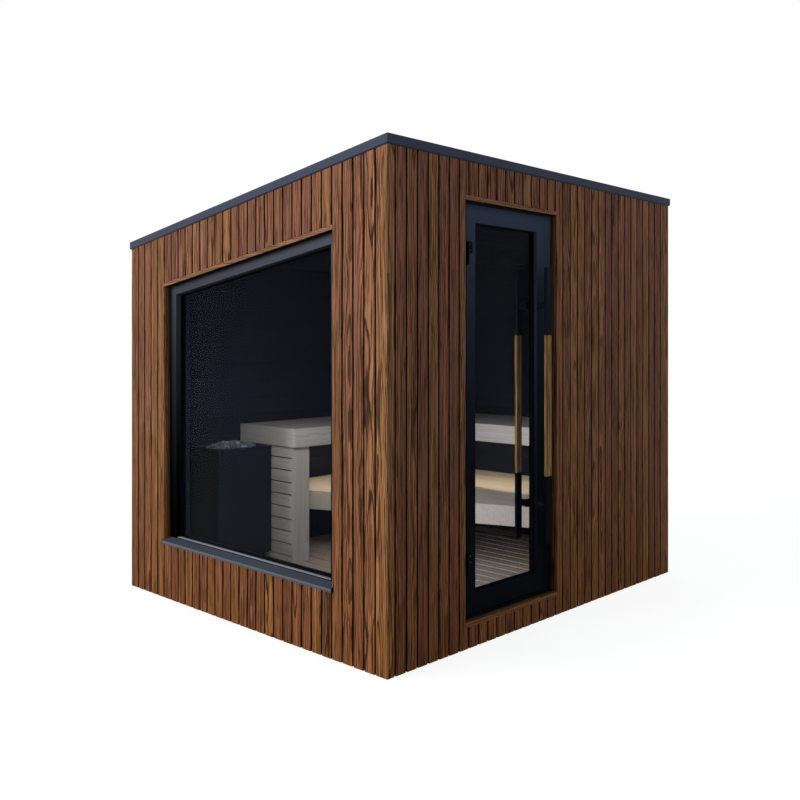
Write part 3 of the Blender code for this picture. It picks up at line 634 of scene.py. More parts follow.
def timber(name, tones, late_share, rough, relief, arris, gloss=0.12, slots=False, **grain_values):
    """Boards of one kind of timber. tones are the early wood's colours from board to board, and
    late_share is how much of each colour the late wood keeps. The last switch paints light that changes
    with height, and shade on what lies in from the face."""
    material, nodes, shader = new_material(name)
    grain, tone = nodes.field("grain", "Vector"), nodes.field("tone")
    early = nodes.ramp(tone, [(index / (len(tones) - 1), colour) for index, colour in enumerate(tones)])
    late = nodes.vector('MULTIPLY', early, late_share)
    grown = nodes.use(TIMBER_GRAIN, {"Grain": grain, "Tone": tone, "Early": early, "Late": late,
                                     **grain_values})
    worn = nodes.use(WORN_ARRIS, {"Place": grain, "Wear": nodes.field("wear"), "Amount": 0.55})["Mask"]
    colour = nodes.blend(worn, grown["Color"], (*arris, 1.0))
    if slots:
        # Painted light that changes with height, then painted shade in the slots and on the reveals.
        height = nodes.span(nodes.height(nodes.place()), 0.0, EAVES, smooth=False)
        colour = nodes.vector('MULTIPLY', colour, nodes.ramp(height, PAINTED_HEIGHT_LIGHT))
        light = nodes.use(SLOT_SHADE, {"Place": nodes.place(), "Daylight": nodes.field("daylight")})["Light"]
        colour = nodes.scale(colour, light)
    polish = nodes.span(grown["Late Wood"], 0.0, 1.0, rough + 0.06, rough - 0.08)
    finished(nodes, shader, colour, polish, gloss, grown["Height"], relief)
    return material


def coated(name, paint, rough, metallic=0.0, gloss=0.4, bare=(0.10, 0.11, 0.12), lift=(1.0, 1.0)):
    """Powder-coated metal. lift scales the paint near the ground and at the top of the door, as painted
    light.
    """
    material, nodes, shader = new_material(name)
    place = nodes.place()
    coat = nodes.use(POWDER_COAT, {"Place": place, "Paint": (*paint, 1.0), "Roughness": rough,
                                   "Foot": lift[0], "Head": lift[1]})
    worn = nodes.use(WORN_ARRIS, {"Place": place, "Wear": nodes.field("wear"), "Amount": 0.10})["Mask"]
    base = nodes.blend(worn, coat["Color"], (*bare, 1.0))
    finished(nodes, shader, base, coat["Roughness"], gloss, coat["Height"], 0.00004, metallic)
    return material


def rubber():
    """Black rubber with a fine grit."""
    material, nodes, shader = new_material("black rubber")
    grit = nodes.noise(nodes.place(), 300.0, 3.0)
    base = nodes.ramp(grit, [(0.3, (0.002, 0.002, 0.003)), (0.7, (0.004, 0.004, 0.005))])
    finished(nodes, shader, base, nodes.span(grit, 0.3, 0.7, 0.62, 0.78), 0.02, grit, 0.0001)
    return material


def membrane():
    """Roof membrane: matt, slightly wavy, with dust in the hollows."""
    material, nodes, shader = new_material("roof membrane")
    place = nodes.place()
    grit = nodes.noise(place, 420.0, 4.0)
    waves = nodes.noise(place, 5.0, 3.0)
    skin = nodes.ramp(grit, [(0.25, (0.026, 0.030, 0.037)), (0.75, (0.040, 0.045, 0.055))])
    base = nodes.blend(nodes.span(waves, 0.40, 0.72, 0.0, 0.35), skin, (0.10, 0.10, 0.10, 1.0))
    relief = nodes.weighted((waves, 0.85), (grit, 0.15))
    finished(nodes, shader, base, nodes.span(waves, 0.3, 0.7, 0.62, 0.80), 0.3, relief, 0.0012)
    return material


def backing():
    """The dark breather membrane behind the cladding boards."""
    material, nodes, shader = new_material("dark backing")
    weave = nodes.noise(nodes.place(), 260.0, 3.0)
    base = nodes.ramp(weave, [(0.3, (0.004, 0.003, 0.003)), (0.7, (0.009, 0.007, 0.006))])
    finished(nodes, shader, base, nodes.span(weave, 0.3, 0.7, 0.80, 0.95), 0.1)
    return material


def glass(name, tint, daylight):
    """Tinted glass. Lamps and the light that bounces indoors pass straight through it, nearly whole."""
    material, nodes, shader = new_material(name)
    finished(nodes, shader, (*tint, 1.0), 0.0)
    nodes.feed(shader["Transmission Weight"], 1.0)
    nodes.feed(shader["IOR"], 1.045)
    tree = material.node_tree
    path = tree.nodes.new("ShaderNodeLightPath").outputs
    passing = nodes.math('MAXIMUM', path["Is Shadow Ray"], path["Is Diffuse Ray"])
    clear = nodes.add("BsdfTransparent", {"Color": (*daylight, 1.0)})
    surface = nodes.add("MixShader", {0: passing, 1: tree.nodes["Principled BSDF"].outputs[0], 2: clear})
    nodes.feed(tree.nodes["Material Output"].inputs["Surface"], surface)
    return material


def stone():
    """Rough grey stone with dark specks, lighter or darker from stone to stone."""
    material, nodes, shader = new_material("heater stone")
    place = nodes.field("grain", "Vector")
    body = nodes.noise(place, 60.0, 8.0)
    specks = nodes.add("TexVoronoi", {"Vector": place, "Scale": 700.0}, "Distance")
    base = nodes.ramp(body, [(0.30, (0.060, 0.066, 0.082)), (0.52, (0.20, 0.215, 0.25)),
                             (0.75, (0.56, 0.60, 0.68))])
    base = nodes.scale(base, nodes.span(nodes.field("tone"), 0.0, 1.0, 0.45, 1.20, smooth=False))
    base = nodes.blend(nodes.span(specks, 0.25, 0.10, 0.0, 0.5), base, (0.03, 0.03, 0.035, 1.0))
    finished(nodes, shader, base, nodes.span(body, 0.3, 0.7, 0.75, 0.92), None, body, 0.004)
    return material


def lit_diffuser():
    """The frosted cover of the light strip: warm, with a faint cloudiness."""
    material, nodes, shader = new_material("light diffuser")
    frost = nodes.noise(nodes.place(), 120.0, 2.0)
    finished(nodes, shader, (0.90, 0.82, 0.62, 1.0), nodes.span(frost, 0.3, 0.7, 0.45, 0.6))
    nodes.feed(shader["Emission Color"], nodes.ramp(frost, [(0.0, (1.0, 0.82, 0.52)),
                                                            (1.0, (1.0, 0.86, 0.60))]))
    nodes.feed(shader["Emission Strength"], LIGHT_STRENGTH)
    return material


LIGHT_STRENGTH = 30.0

# Painted light on the boards from the ground up to the eaves: darker and warmer at the foot, lighter and
# greyer under the roof
EAVES = 2.3
PAINTED_HEIGHT_LIGHT = [(0.0, (0.88, 0.76, 0.52)), (0.45, (0.97, 1.0, 0.93)), (1.0, (1.12, 1.12, 1.15))]

CLADDING = timber(
    "heat treated boards",
    [(0.262, 0.108, 0.062), (0.330, 0.152, 0.066), (0.232, 0.090, 0.060), (0.345, 0.162, 0.074),
     (0.256, 0.103, 0.064), (0.312, 0.134, 0.068)],
    (0.11, 0.080, 0.080), rough=0.58, relief=0.0007, arris=(0.40, 0.21, 0.11), gloss=0.03, slots=True,
    Ring=0.0085, Wander=0.042, Contrast=1.0, Fibre=0.34, Veins=0.80, Knots=0.25)
EDGE_BOARDS = timber(
    "heat treated edge boards", [(0.285, 0.140, 0.078), (0.330, 0.162, 0.088)],
    (0.22, 0.17, 0.16), rough=0.58, relief=0.0007, arris=(0.48, 0.27, 0.16), gloss=0.03, slots=True,
    Ring=0.0066, Wander=0.040, Contrast=1.0, Fibre=0.30, Veins=0.60, Knots=0.0)
LINING = timber(
    "dark lining boards",
    [(0.0096, 0.0122, 0.0250), (0.0112, 0.0138, 0.0275), (0.0128, 0.0154, 0.0300)],
    (0.65, 0.66, 0.70), rough=0.60, relief=0.0003, arris=(0.014, 0.018, 0.030), gloss=0.03,
    Knots=0.4, Fibre=0.15)
BENCH = timber(
    "light bench boards",
    [(0.56, 0.510, 0.460), (0.60, 0.550, 0.500), (0.53, 0.485, 0.440)],
    (0.82, 0.80, 0.78), rough=0.60, relief=0.0002, arris=(0.60, 0.55, 0.50), gloss=0.1,
    Knots=0.0, Ring=0.0052, Fibre=0.10)
FLOOR = timber(
    "light floor slats",
    [(0.46, 0.385, 0.315), (0.50, 0.42, 0.35), (0.42, 0.35, 0.29)],
    (0.80, 0.76, 0.72), rough=0.62, relief=0.0003, arris=(0.55, 0.48, 0.40), gloss=0.1,
    Knots=0.3, Ring=0.0056, Fibre=0.10)
OAK = timber(
    "oiled oak", [(0.280, 0.164, 0.062), (0.335, 0.198, 0.076)],
    (0.22, 0.19, 0.17), rough=0.46, relief=0.0004, arris=(0.22, 0.15, 0.08), gloss=0.03,
    Ring=0.0058, Wander=0.030, Knots=0.0, Fibre=0.45, Veins=0.7)
SAWN = timber(
    "sawn softwood", [(0.38, 0.25, 0.13), (0.44, 0.30, 0.17)], (0.55, 0.45, 0.36), rough=0.78, relief=0.0008,
    arris=(0.50, 0.38, 0.24), gloss=0.1, Ring=0.0070)
# Where a coat has a lift, it paints light: darker near the ground, much lighter towards the top of the door
# and window.
ANTHRACITE = coated("anthracite coat", (0.0135, 0.0160, 0.0245), 0.45, gloss=0.006, lift=(0.27, 4.1))
WINDOW_COAT = coated("window frame coat", (0.0320, 0.0335, 0.0420), 0.45, gloss=0.006, lift=(0.0, 3.2))
INNER_COAT = coated("inner bead coat", (0.022, 0.026, 0.040), 0.45, gloss=0.01)
# Painted highlights: a light coat for the ledge strip under the window glass, and one for the strip on the
# sill's nose.
LEDGE_HIGHLIGHT_COAT = coated("light ledge coat", (0.30, 0.315, 0.345), 0.35, gloss=0.15)
NOSE_HIGHLIGHT_COAT = coated("sill nose coat", (0.105, 0.104, 0.112), 0.35, gloss=0.15)
SILL_COAT = coated("sill coat", (0.058, 0.068, 0.088), 0.36, gloss=0.12)
TRIM_COAT = coated("trim coat", (0.057, 0.065, 0.096), 0.40, gloss=0.03)
BLACK = coated("black coat", (0.0022, 0.0026, 0.0044), 0.50, gloss=0.01)
BAR_COAT = coated("handle coat", (0.0022, 0.0027, 0.0050), 0.50, gloss=0.01, lift=(0.8, 9.0))
CASE = coated("heater case coat", (0.0090, 0.0115, 0.0220), 0.50, gloss=0.04)
STEEL = coated("screw steel", (0.020, 0.021, 0.024), 0.40, metallic=0.6, bare=(0.05, 0.05, 0.05))
RUBBER = rubber()
MEMBRANE = membrane()
BACKING = backing()
TINTED = glass("tinted glass", (0.90, 0.91, 0.93), (0.97, 0.97, 0.975))
STONE = stone()
GLOW = lit_diffuser()


# Outside

def clad(node, side):
    """Single boards in place of one cladding node, each cut as the node's edges say."""
    points = corners_of(node)
    run, through = SIDE_AXES[side]
    face = SIDE_FACES[side]
    outer = near(points, through, face)
    ends = levels(points, run)
    stock = Stock("boards" + node.removeprefix("cladding"))

    def under_fall(y):
        """How much lower the roof is than at the front's face, so that no board comes through it."""
        return ROOF(y) - ROOF(face) if side == "front" else 0.0

    # Board sides on an opening get the slow painted shade of a reveal, the rest the sharp painted shade of a
    # slot.
    def open_side(point):
        return 1.0 if min(abs(point[run] - ends[0]), abs(point[run] - ends[-1])) < 2 * BOARD_EASE else 0.0

    for start, end in spans(outer, run):
        deep = abs(start - ends[0]) < SAME or abs(end - ends[-1]) < SAME
        depth = CLADDING_DEPTH if deep else CLADDING_DEPTH - BACKING_DEPTH - SAME
        play = 0.0 if deep else stock.dice.uniform(0.0, BOARD_PLAY)
        edges = [sorted(point.z for point in near(outer, run, place)) for place in (start, end)]
        cut = stock.dice.uniform(0.0, BOARD_CUT_PLAY)

        def trimmed(point, start=start, end=end, edges=edges, cut=cut):
            share = (point[run] - start) / (end - start)
            (low, *_, high), (far_low, *_, far_high) = edges
            bottom = low + (far_low - low) * share + cut
            top = high + (far_high - high) * share + under_fall(point.y)
            point.z = bottom + point.z * (top - bottom)
            return point

        corners = side_box(side, start, end, 0.0, 1.0, play, depth)
        stock.plank(*corners, Z, through, shape=trimmed, daylight=open_side)
    level_low, level_high = sloping(points, min), sloping(points, max)
    if side in ("front", "rear"):
        low_z, *_, high_z = levels(points, Z)
        level_low, level_high = (lambda y: low_z), (lambda y: high_z + under_fall(y))

    def backed(point):
        bottom = level_low(point.y) + BACKING_SHORT
        point.z = bottom + point.z * (level_high(point.y) - bottom - SAME)
        return point

    inside = side_box(side, ends[0] + CLADDING_DEPTH, ends[-1] - CLADDING_DEPTH, 0.0, 1.0,
                      CLADDING_DEPTH - BACKING_DEPTH, CLADDING_DEPTH)
    stock.plank(*inside, Z, through, shape=backed, finish=1)
    stock.build("cabin", [CLADDING, BACKING], [node])


def edge_boards():
    """The boards that close the cladding over the window and over and under the door."""
    # Painted shade: the head boards' undersides go black at once, a painted shadow, and the threshold's top
    # darkens slowly as on a reveal.
    for node, name in (("door_head_board", "head_board_door"), ("door_threshold_board", "sill_board_door")):
        stock = Stock(name)
        stock.plank(*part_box(node), X, Y, ease=HEAD_BOARD_EASE,
                    daylight=lambda point: 1.0 if point.z < CLADDING_DEPTH * 4 else 0.0)
        stock.build("cabin", [EDGE_BOARDS], [node])
    points = corners_of("window_head_board")
    low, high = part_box("window_head_board")
    bottom, top = sloping(points, min), sloping(points, max)
    stock = Stock("head_board_window")
    stock.plank(Vector((low.x, low.y, 0.0)), Vector((high.x, high.y, top(0.0) - bottom(0.0))), Y, X,
                ease=HEAD_BOARD_EASE, shape=raised(bottom))
    stock.build("cabin", [EDGE_BOARDS], ["window_head_board"])


def roof():
    """Folded edge trim in four mitred lengths, and membrane strips lapped up the fall."""
    low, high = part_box("roof_trim")
    outline = rectangle(low, high, X, Y)
    points = corners_of("roof_trim")
    flange = [value for value in levels(points, X) if value < 0][-1] - low.x
    height = ROOF(low.y) - min(point.z for point in near(points, Y, low.y))
    proud = -HALF_WIDTH - low.x
    section = eased([
        (0.0, 0.0), (flange, 0.0), (flange, SHEET), (SHEET + 0.0010, SHEET), (SHEET, height - LIP),
        (proud - 0.0006, height - 0.0012), (proud - 0.0010, height), (0.0, height - LIP + 0.0012),
    ], NOSE_EASE)
    stock = Stock("roof_edge_trim")
    rings = []
    for point, _ in section:
        ring = inset(outline, [point[0]] * 4)
        rings.append([Vector((x, y, ROOF(y) - point[1])) for x, y in ring])
    stock.members(rings, (X, Y), Z, [worn for _, worn in section])
    stock.build("cabin", [TRIM_COAT], ["roof_trim"])

    low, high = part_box("roof_sheet")
    top, seat_level, bottom = MEMBRANE_DEPTHS
    stock = Stock("roof_membrane")

    def on_fall(point):
        point.z = ROOF(point.y) - point.z
        return point

    stock.plank((low.x, low.y, seat_level), (high.x, high.y, bottom), X, Z, ease=FINE_EASE, shape=on_fall)
    for strip in range(1, STRIPS):
        seam = low.y + strip * ((high.y - low.y) / STRIPS)
        stock.plank((low.x + 0.001, seam - LAP, top), (high.x - 0.001, seam, seat_level), X, Z,
                    ease=FINE_EASE / 2, shape=on_fall)
    stock.build("cabin", [MEMBRANE], ["roof_sheet"])


def gasket(stock, side, outline, extra, start, end, depth, out):
    """A rubber line on a pane, from one inset to another. out is 1 on the room side and -1 outside."""
    foot, crest = depth + out * GASKET_FOOT, depth + out * GASKET_DEPTH
    stock.mitred(side, outline, [(start, foot), (end, foot), (end - GASKET_LEAN, crest), (start, crest)],
                 ease=FINE_EASE, extra=extra, finish=1)


def window():
    """Raked frame with a stepped bead and rubber lines, double glazing, and the folded sill."""
    points = corners_of("window_frame")
    low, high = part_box("window_frame")
    head = sloping(points, max)
    outline = [(low.y, low.z), (high.y, low.z), (high.y, head(high.y)), (low.y, head(low.y))]
    front, back = low.x + HALF_WIDTH, high.x + HALF_WIDTH
    outside = near(points, X, low.x)
    face = levels(outside, Y)[1] - low.y
    foot_face = levels(outside, Z)[1] - low.z
    head_face = head(0.0) - max(point.z + (head(0.0) - head(point.y)) for point in outside
                                if point.z < head(point.y) - 0.01)
    head_face *= HALF_DEPTH / Vector((HALF_DEPTH, ROOF(0.0) - ROOF(HALF_DEPTH))).length
    pane_low, pane_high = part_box("window_glass")
    glass_front, glass_back = pane_low.x + HALF_WIDTH, pane_high.x + HALF_WIDTH
    bite = pane_low.y - low.y
    extra = (foot_face - face, 0.0, head_face - face, 0.0)
    step = glass_front - 0.0100
    rebate, bead, inner_bead = bite - 0.0008, face + 0.0012, face + 0.0028
    stock = Stock("window_frame_members")
    stock.mitred("left", outline, [
        (0.0, front, 0), (face, front), (face, step), (rebate, step), (rebate, back), (0.0, back, 0),
    ], extra=extra)
    stock.mitred("left", outline, [
        (bite, step + 0.0008), (bead, step + 0.0008), (inner_bead, glass_front - FIT),
        (bite, glass_front - FIT),
    ], ease=FINE_EASE, extra=extra)
    stock.mitred("left", outline, [
        (bite, glass_back + FIT), (inner_bead, glass_back + FIT), (inner_bead, back - 0.001),
        (bite, back - 0.001),
    ], extra=extra, finish=3)
    for depth, out in ((glass_front, -1), (glass_back, 1)):
        gasket(stock, "left", outline, extra, face + 0.0026, face + 0.0090, depth, out)
    # A thin strip in a much lighter coat along the foot of the frame, in front of the glass: a painted
    # highlight on the ledge.
    foot = low.z + foot_face
    ledge = side_box("left", low.y + face + 0.0035, high.y - face - 0.0035, foot + 0.0003, foot + 0.0036,
                     front + 0.0080, glass_front - GASKET_DEPTH - 0.0006)
    stock.plank(*ledge, Y, Z, ease=FINE_EASE, finish=2)
    stock.build("cabin", [WINDOW_COAT, RUBBER, LEDGE_HIGHLIGHT_COAT, INNER_COAT], ["window_frame"])

    stock = Stock("window_panes")
    glaze(stock, "left", inset(outline, [bite + more for more in extra]), glass_front, glass_back)
    stock.build("cabin", [TINTED, RUBBER], ["window_glass"])
    sill()


def glaze(stock, side, outline, front, back):
    """Two panes with a dark spacer between them near their edges."""
    run, through = SIDE_AXES[side]
    for start, end in ((front + FIT, front + PANE), (back - PANE, back - FIT)):
        rows = ((start, PANE_EASE), (start + PANE_EASE, 0.0), (end - PANE_EASE, 0.0), (end, PANE_EASE))
        loops = [[side_point(side, u, v, depth) for u, v in inset(outline, [shrink] * 4)]
                 for depth, shrink in rows]
        stock.skin(loops, through, run)
    near_pane, far_pane = front + PANE + FIT, back - PANE - FIT
    stock.mitred(side, outline, [
        (SPACER_INSET, near_pane), (SPACER_WIDTH, near_pane), (SPACER_WIDTH, far_pane),
        (SPACER_INSET, far_pane),
    ], ease=0.0006, finish=1)


def sill():
    """A folded sheet with a rounded nose, a drip fold and upturned stop ends."""
    points = corners_of("window_sill")
    low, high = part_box("window_sill")
    nose, nose_low = low.x, low.z
    nose_top = max(point.z for point in near(points, X, nose))
    notch = levels([point for point in points if point.x > -HALF_WIDTH + 0.01], Y)
    section = eased([
        (high.x, high.z), (nose + 0.0012, nose_top), (nose + 0.0009, nose_top - 0.0016),
        (nose + 0.0009, nose_low + 0.001), (nose + 0.0012, nose_low), (nose + 0.0050, nose_low + 0.0010),
        (nose + 0.0046, nose_low + 0.0026), (nose + 0.0020, nose_low + 0.0018),
        (nose + 0.0020, nose_top - 0.0030), (high.x, high.z - SILL_SHEET),
    ], 0.0010)
    wear = [worn for _, worn in section]
    stock = Stock("window_sill_sheet")

    def top_at(x):
        return nose_top + (high.z - nose_top) * ((x - nose) / (high.x - nose))

    def loop(y, most=None):
        """The section at one place along the sill, cut off where it would go in past most."""
        made = []
        for (x, z), _ in section:
            if most is not None and x > most:
                z = top_at(most) - (0.0 if z > high.z - 0.0012 else SILL_SHEET)
                x = most
            made.append(Vector((x, y, z)))
        return made

    stock.skin([loop(notch[0] + 0.0003), loop(notch[-1] - 0.0003)], Y, Z, wear)
    # A thin strip in a lighter coat over the upper half of the nose: a painted highlight on its rounded top.
    stock.plank((nose, low.y + 0.0020, (nose_top + nose_low) / 2),
                (nose + 0.0010, high.y - 0.0020, nose_top - 0.0012), Y, X, ease=0.0003, finish=1)
    cover = -HALF_WIDTH - SAME
    cap = eased([(nose, nose_low), (cover, nose_low + 0.004), (cover, top_at(cover) + 0.0030),
                 (nose + 0.001, nose_top + 0.0004)], NOSE_EASE)
    for inner, outer in ((notch[0], low.y), (notch[-1], high.y)):
        stop = outer - copysign(STOP_END, outer - inner)
        stock.skin([loop(inner, cover), loop(stop, cover)], Y, Z, wear)
        stock.skin([[Vector((x, y, z)) for (x, z), _ in cap] for y in sorted((stop, outer))], Y, Z,
                   [worn for _, worn in cap], finish=2)
    stock.build("cabin", [SILL_COAT, NOSE_HIGHLIGHT_COAT, BLACK], ["window_sill"])


# Door

def member_faces(points, low):
    """The first member's width, and how much wider the bottom, right, top and left members are."""
    across, up = levels(near(points, Y, low.y), X), levels(near(points, Y, low.y), Z)
    face = across[1] - across[0]
    return face, (up[1] - up[0] - face, across[3] - across[2] - face, up[3] - up[2] - face, 0.0)


def door():
    """Fixed frame, glazed leaf, hinges with screws, and the bar handles."""
    points = corners_of("door_frame")
    low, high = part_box("door_frame")
    outline = rectangle(low, high, X, Z)
    front, back = low.y + HALF_DEPTH, high.y + HALF_DEPTH
    face, extra = member_faces(points, low)
    stop = levels(points, Y)[1] + HALF_DEPTH
    lip = levels(points, X)[2] - low.x
    stock = Stock("door_frame_members")
    stock.mitred("front", outline, [
        (0.0, front, 0), (face, front), (face, stop), (lip - 0.003, stop), (lip - 0.010, back),
        (0.0, back, 0),
    ], extra=extra)
    stock.mitred("front", outline, [
        (face + 0.003, stop - 0.0035), (lip - 0.004, stop - 0.0035), (lip - 0.004, stop - FIT),
        (face + 0.003, stop - FIT),
    ], extra=extra, finish=1)
    stock.build("cabin", [ANTHRACITE, RUBBER], ["door_frame"])

    points = corners_of("door_leaf")
    low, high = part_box("door_leaf")
    outline = rectangle(low, high, X, Z)
    front, back = low.y + HALF_DEPTH, high.y + HALF_DEPTH
    face, extra = member_faces(points, low)
    extra = (extra[0], 0.0, extra[2], 0.0)
    pane_low, pane_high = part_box("door_glass")
    glass_front, glass_back = pane_low.y + HALF_DEPTH, pane_high.y + HALF_DEPTH
    bite = pane_low.x - low.x
    strike = high.x - levels(near(points, Y, high.y), X)[-1]
    rebate, bead = bite - 0.0005, face - LEAF_BEAD
    stock = Stock("door_leaf_members")
    stock.mitred("front", outline, [
        (0.0, front, 0), (face, front), (face, glass_front - FIT), (rebate, glass_front - FIT),
        (rebate, glass_back + FIT), (bead, glass_back + FIT), (bead, glass_back + 0.0160),
        (face - LEAF_BACK, back), (strike, back, 0), (0.0, back - LEAF_BEVEL, 0),
    ], extra=extra)
    stock.mitred("front", outline, [
        (bead + 0.0005, glass_back + 0.0006), (face - 0.006, glass_back + 0.0006),
        (face - 0.007, glass_back + 0.0050), (bead + 0.0005, glass_back + 0.0150),
    ], extra=extra)
    for depth, out, edge in ((glass_front, -1, face), (glass_back, 1, face - 0.006)):
        gasket(stock, "front", outline, extra, edge - 0.0005, edge + 0.0080, depth, out)
    stock.build("door", [ANTHRACITE, RUBBER], ["door_leaf"])

    stock = Stock("door_panes")
    glaze(stock, "front", inset(outline, [bite + more for more in extra]), glass_front, glass_back)
    stock.build("door", [TINTED, RUBBER], ["door_glass"])
    for label in ("outer", "inner"):
        handle(label)
    for label in ("upper", "lower"):
        hinge(label)


def screw(stock, centre, axis, facing, radius, finish=1):
    """A small countersunk head with a six-cornered socket."""
    steps = [(0.92, -0.0004), (1.0, 0.0), (0.88, 0.0005), (0.50, 0.0007, 1), (0.46, -0.0003, 1)]
    stock.turned(centre, axis, [(radius * share, facing * reach, *kind) for share, reach, *kind in steps],
                 sides=18, finish=finish, corners=6)


def handle(label):
    """Flat bar on two brackets with square roses, and a timber grip of the bar's full thickness."""
    points = corners_of(label + "_handle")
    low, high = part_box(label + "_handle")
    grip_low, grip_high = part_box(label + "_grip")
    front, far_side = (low.y, high.y) if label == "outer" else (high.y, low.y)
    inwards = 1 if label == "outer" else -1
    depths = sorted(abs(value - front) for value in levels(points, Y))
    back = front + inwards * next(depth for depth in depths if depth > grip_high.y - grip_low.y + 0.002)
    bracket = [value for value in levels(points, X) if low.x + 0.002 < value < high.x - 0.002]
    left, right = bracket[0], bracket[-1]
    stock = Stock(label + "_handle_bar")

    def block(x, y, z, run, through, ease):
        stock.plank((x[0], min(y), z[0]), (x[1], max(y), z[1]), run, through, ease=ease)

    for ends in ((low.z, grip_low.z - PANE_EASE), (grip_high.z + PANE_EASE, high.z)):
        block((low.x, high.x), (front, back), ends, Z, Y, 0.0012)
    for start, end in spans(near(points, X, left), Z):
        block((left, right), (back, far_side), (start, end), Y, X, 0.0015)
        block((left - ROSE, right + ROSE), (far_side - inwards * ROSE_DEPTH, far_side),
              (start - ROSE, end + ROSE), Y, X, 0.0010)
        screw(stock, ((low.x + high.x) / 2, front, (start + end) / 2), Y, -inwards * 0.9, 0.0045, finish=0)
    stock.build("door", [BAR_COAT], [label + "_handle"])
    stock = Stock(label + "_timber_grip")
    block((low.x, high.x), (front, back), (grip_low.z, grip_high.z), Z, Y, 0.0020)
    stock.build("door", [OAK], [label + "_grip"])


def hinge(label):
    """Barrel halves with a thin washer between them, and plates held by screws."""
    pin_x, pin_y, _ = frame["joints"][0]["pos_m"]
    for half, body in (("frame", "cabin"), ("leaf", "door")):
        node = f"hinge_{label}_{half}_half"
        low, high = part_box(node)
        radius = pin_y - low.y
        upper = half == "leaf"
        tip, meet = (high.z, low.z) if upper else (low.z, high.z)
        lean = 1 if upper else -1
        reach = abs(tip - meet)
        profile = [
            (0.80, 0.0), (0.80, 0.0008), (1.0, 0.0012), (1.0, reach - 0.0060), (0.90, reach - 0.0055),
            (0.90, reach - 0.0045), (1.0, reach - 0.0040), (0.96, reach - 0.0015), (0.70, reach),
        ]
        stock = Stock(f"hinge_{label}_{half}")
        stock.turned((pin_x, pin_y, meet), Z, [(radius * share, lean * rise) for share, rise in profile],
                     sides=28)
        left, right = (pin_x + PIN_GAP, high.x) if upper else (low.x, pin_x - PIN_GAP)
        inner = [value for value in levels(corners_of(node), Y) if value > pin_y + 0.001][-1]
        outer = inner - PLATE
        stock.plank((left, outer, low.z + 0.001), (right, inner, high.z - 0.001), Z, Y, ease=0.0012)
        middle = (left + lean * 0.004 + right) / 2
        for share in (0.25, 0.75):
            screw(stock, (middle, outer, low.z + (high.z - low.z) * share), Y, -1, 0.0042)
        stock.build(body, [BLACK, STEEL], [node])


# Inside

def line_side(side, nodes, opening=None):
    """Wall core and horizontal lining boards of one side, cut round an opening and under the ceiling.

    The opening is its start, end, lower level and upper level."""
    run, through = SIDE_AXES[side]
    points = [point for node in nodes for point in corners_of(node)]
    start, *_, end = levels(points, run)
    bottom, *_, highest = levels(points, Z)
    wall_y = side_point(side, 0.0, 0.0, WALL_FACE).y
    stock = Stock("lining_" + side)

    def top(along):
        return WALL_TOP(along if run == Y else wall_y)

    def ground(along):
        return bottom

    def fill(piece, z0, z1, outside, inside, ease, finish):
        """One board or block of a piece of wall, kept between the piece's lower and upper level."""
        first, last, low, high = piece
        places = {first, last}
        for level in (low, high):
            rise = level(last) - level(first)
            if abs(rise) > SAME:
                places |= {first + (z - level(first)) / rise * (last - first) for z in (z0, z1)}
        places = sorted(place for place in places if first <= place <= last)
        kept = [place for place in places if min(z1, high(place)) - max(z0, low(place)) > SAME]
        if len(kept) < 2:
            return
        left, right = kept[0], kept[-1]
        before, after = places.index(left) - 1, places.index(right) + 1
        if before >= 0:
            left -= POINT_REACH * (left - places[before])
        if after < len(places):
            right += POINT_REACH * (places[after] - right)

        def cut(point):
            point.z = max(low(point[run]), min(high(point[run]), point.z))
            return point

        corners = side_box(side, left, right, z0, z1, outside, inside)
        stock.plank(*corners, run, through, ease=ease, shape=cut, stations=places, finish=finish)

    whole = (start, end, ground, top)
    pieces = [whole]
    if opening:
        left, right, under, over = opening
        pieces = [(start, left, ground, top), (right, end, ground, top), (left, right, ground, under),
                  (left, right, over, top)]
    inner = WALL_FACE - LINING_DEPTH
    for piece in pieces:
        first, last, low, high = piece
        middle = (first + last) / 2
        if high(middle) - low(middle) >= 0.01:
            fill(piece, bottom, top(start) + 0.5, WALL_BACK, inner - SAME, HIDDEN_EASE, 1)
    for row in range(int((highest - bottom) / LINING_PITCH) + 1):
        z0, z1 = bottom + row * LINING_PITCH, bottom + (row + 1) * LINING_PITCH - LINING_GAP
        clear = not opening or z1 <= min(under(left), under(right)) + SAME
        clear = clear or z0 >= max(over(left), over(right)) - SAME
        for piece in [whole] if clear else pieces:
            fill(piece, z0, z1, inner, WALL_FACE, LINING_EASE, 0)
    stock.build("cabin", [LINING, BACKING], nodes)


def lining():
    """Boards on the four walls, cut round the window and the door, and under the roof."""
    window_low, window_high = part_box("window_frame")
    head = sloping(corners_of("window_frame"), max)
    line_side("left", ["left_wall_front", "left_wall_rear", "left_wall_head", "left_wall_apron"],
              (window_low.y - SAME, window_high.y + SAME, lambda y: window_low.z - SAME,
               lambda y: head(y) + SAME))
    line_side("right", ["right_wall"])
    line_side("rear", ["rear_wall"])
    door_low, door_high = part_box("door_frame")
    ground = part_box("front_wall_left")[0].z
    line_side("front", ["front_wall_left", "front_wall_right", "front_wall_head"],
              (door_low.x - SAME, door_high.x + SAME, lambda x: ground, lambda x: door_high.z + SAME))
    low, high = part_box("ceiling")
    stock = Stock("ceiling_boards")
    count = round((high.y - low.y) / LINING_PITCH)
    pitch = (high.y - low.y) / count
    thickness = WALL_TOP(0.0) - CEILING(0.0)
    for row in range(count):
        start = low.y + row * pitch
        stock.plank((low.x, start + LINING_GAP / 2, 0.0), (high.x, start + pitch - LINING_GAP / 2, thickness),
                    X, Z, ease=LINING_EASE, shape=raised(CEILING))
    stock.build("cabin", [LINING], ["ceiling"])


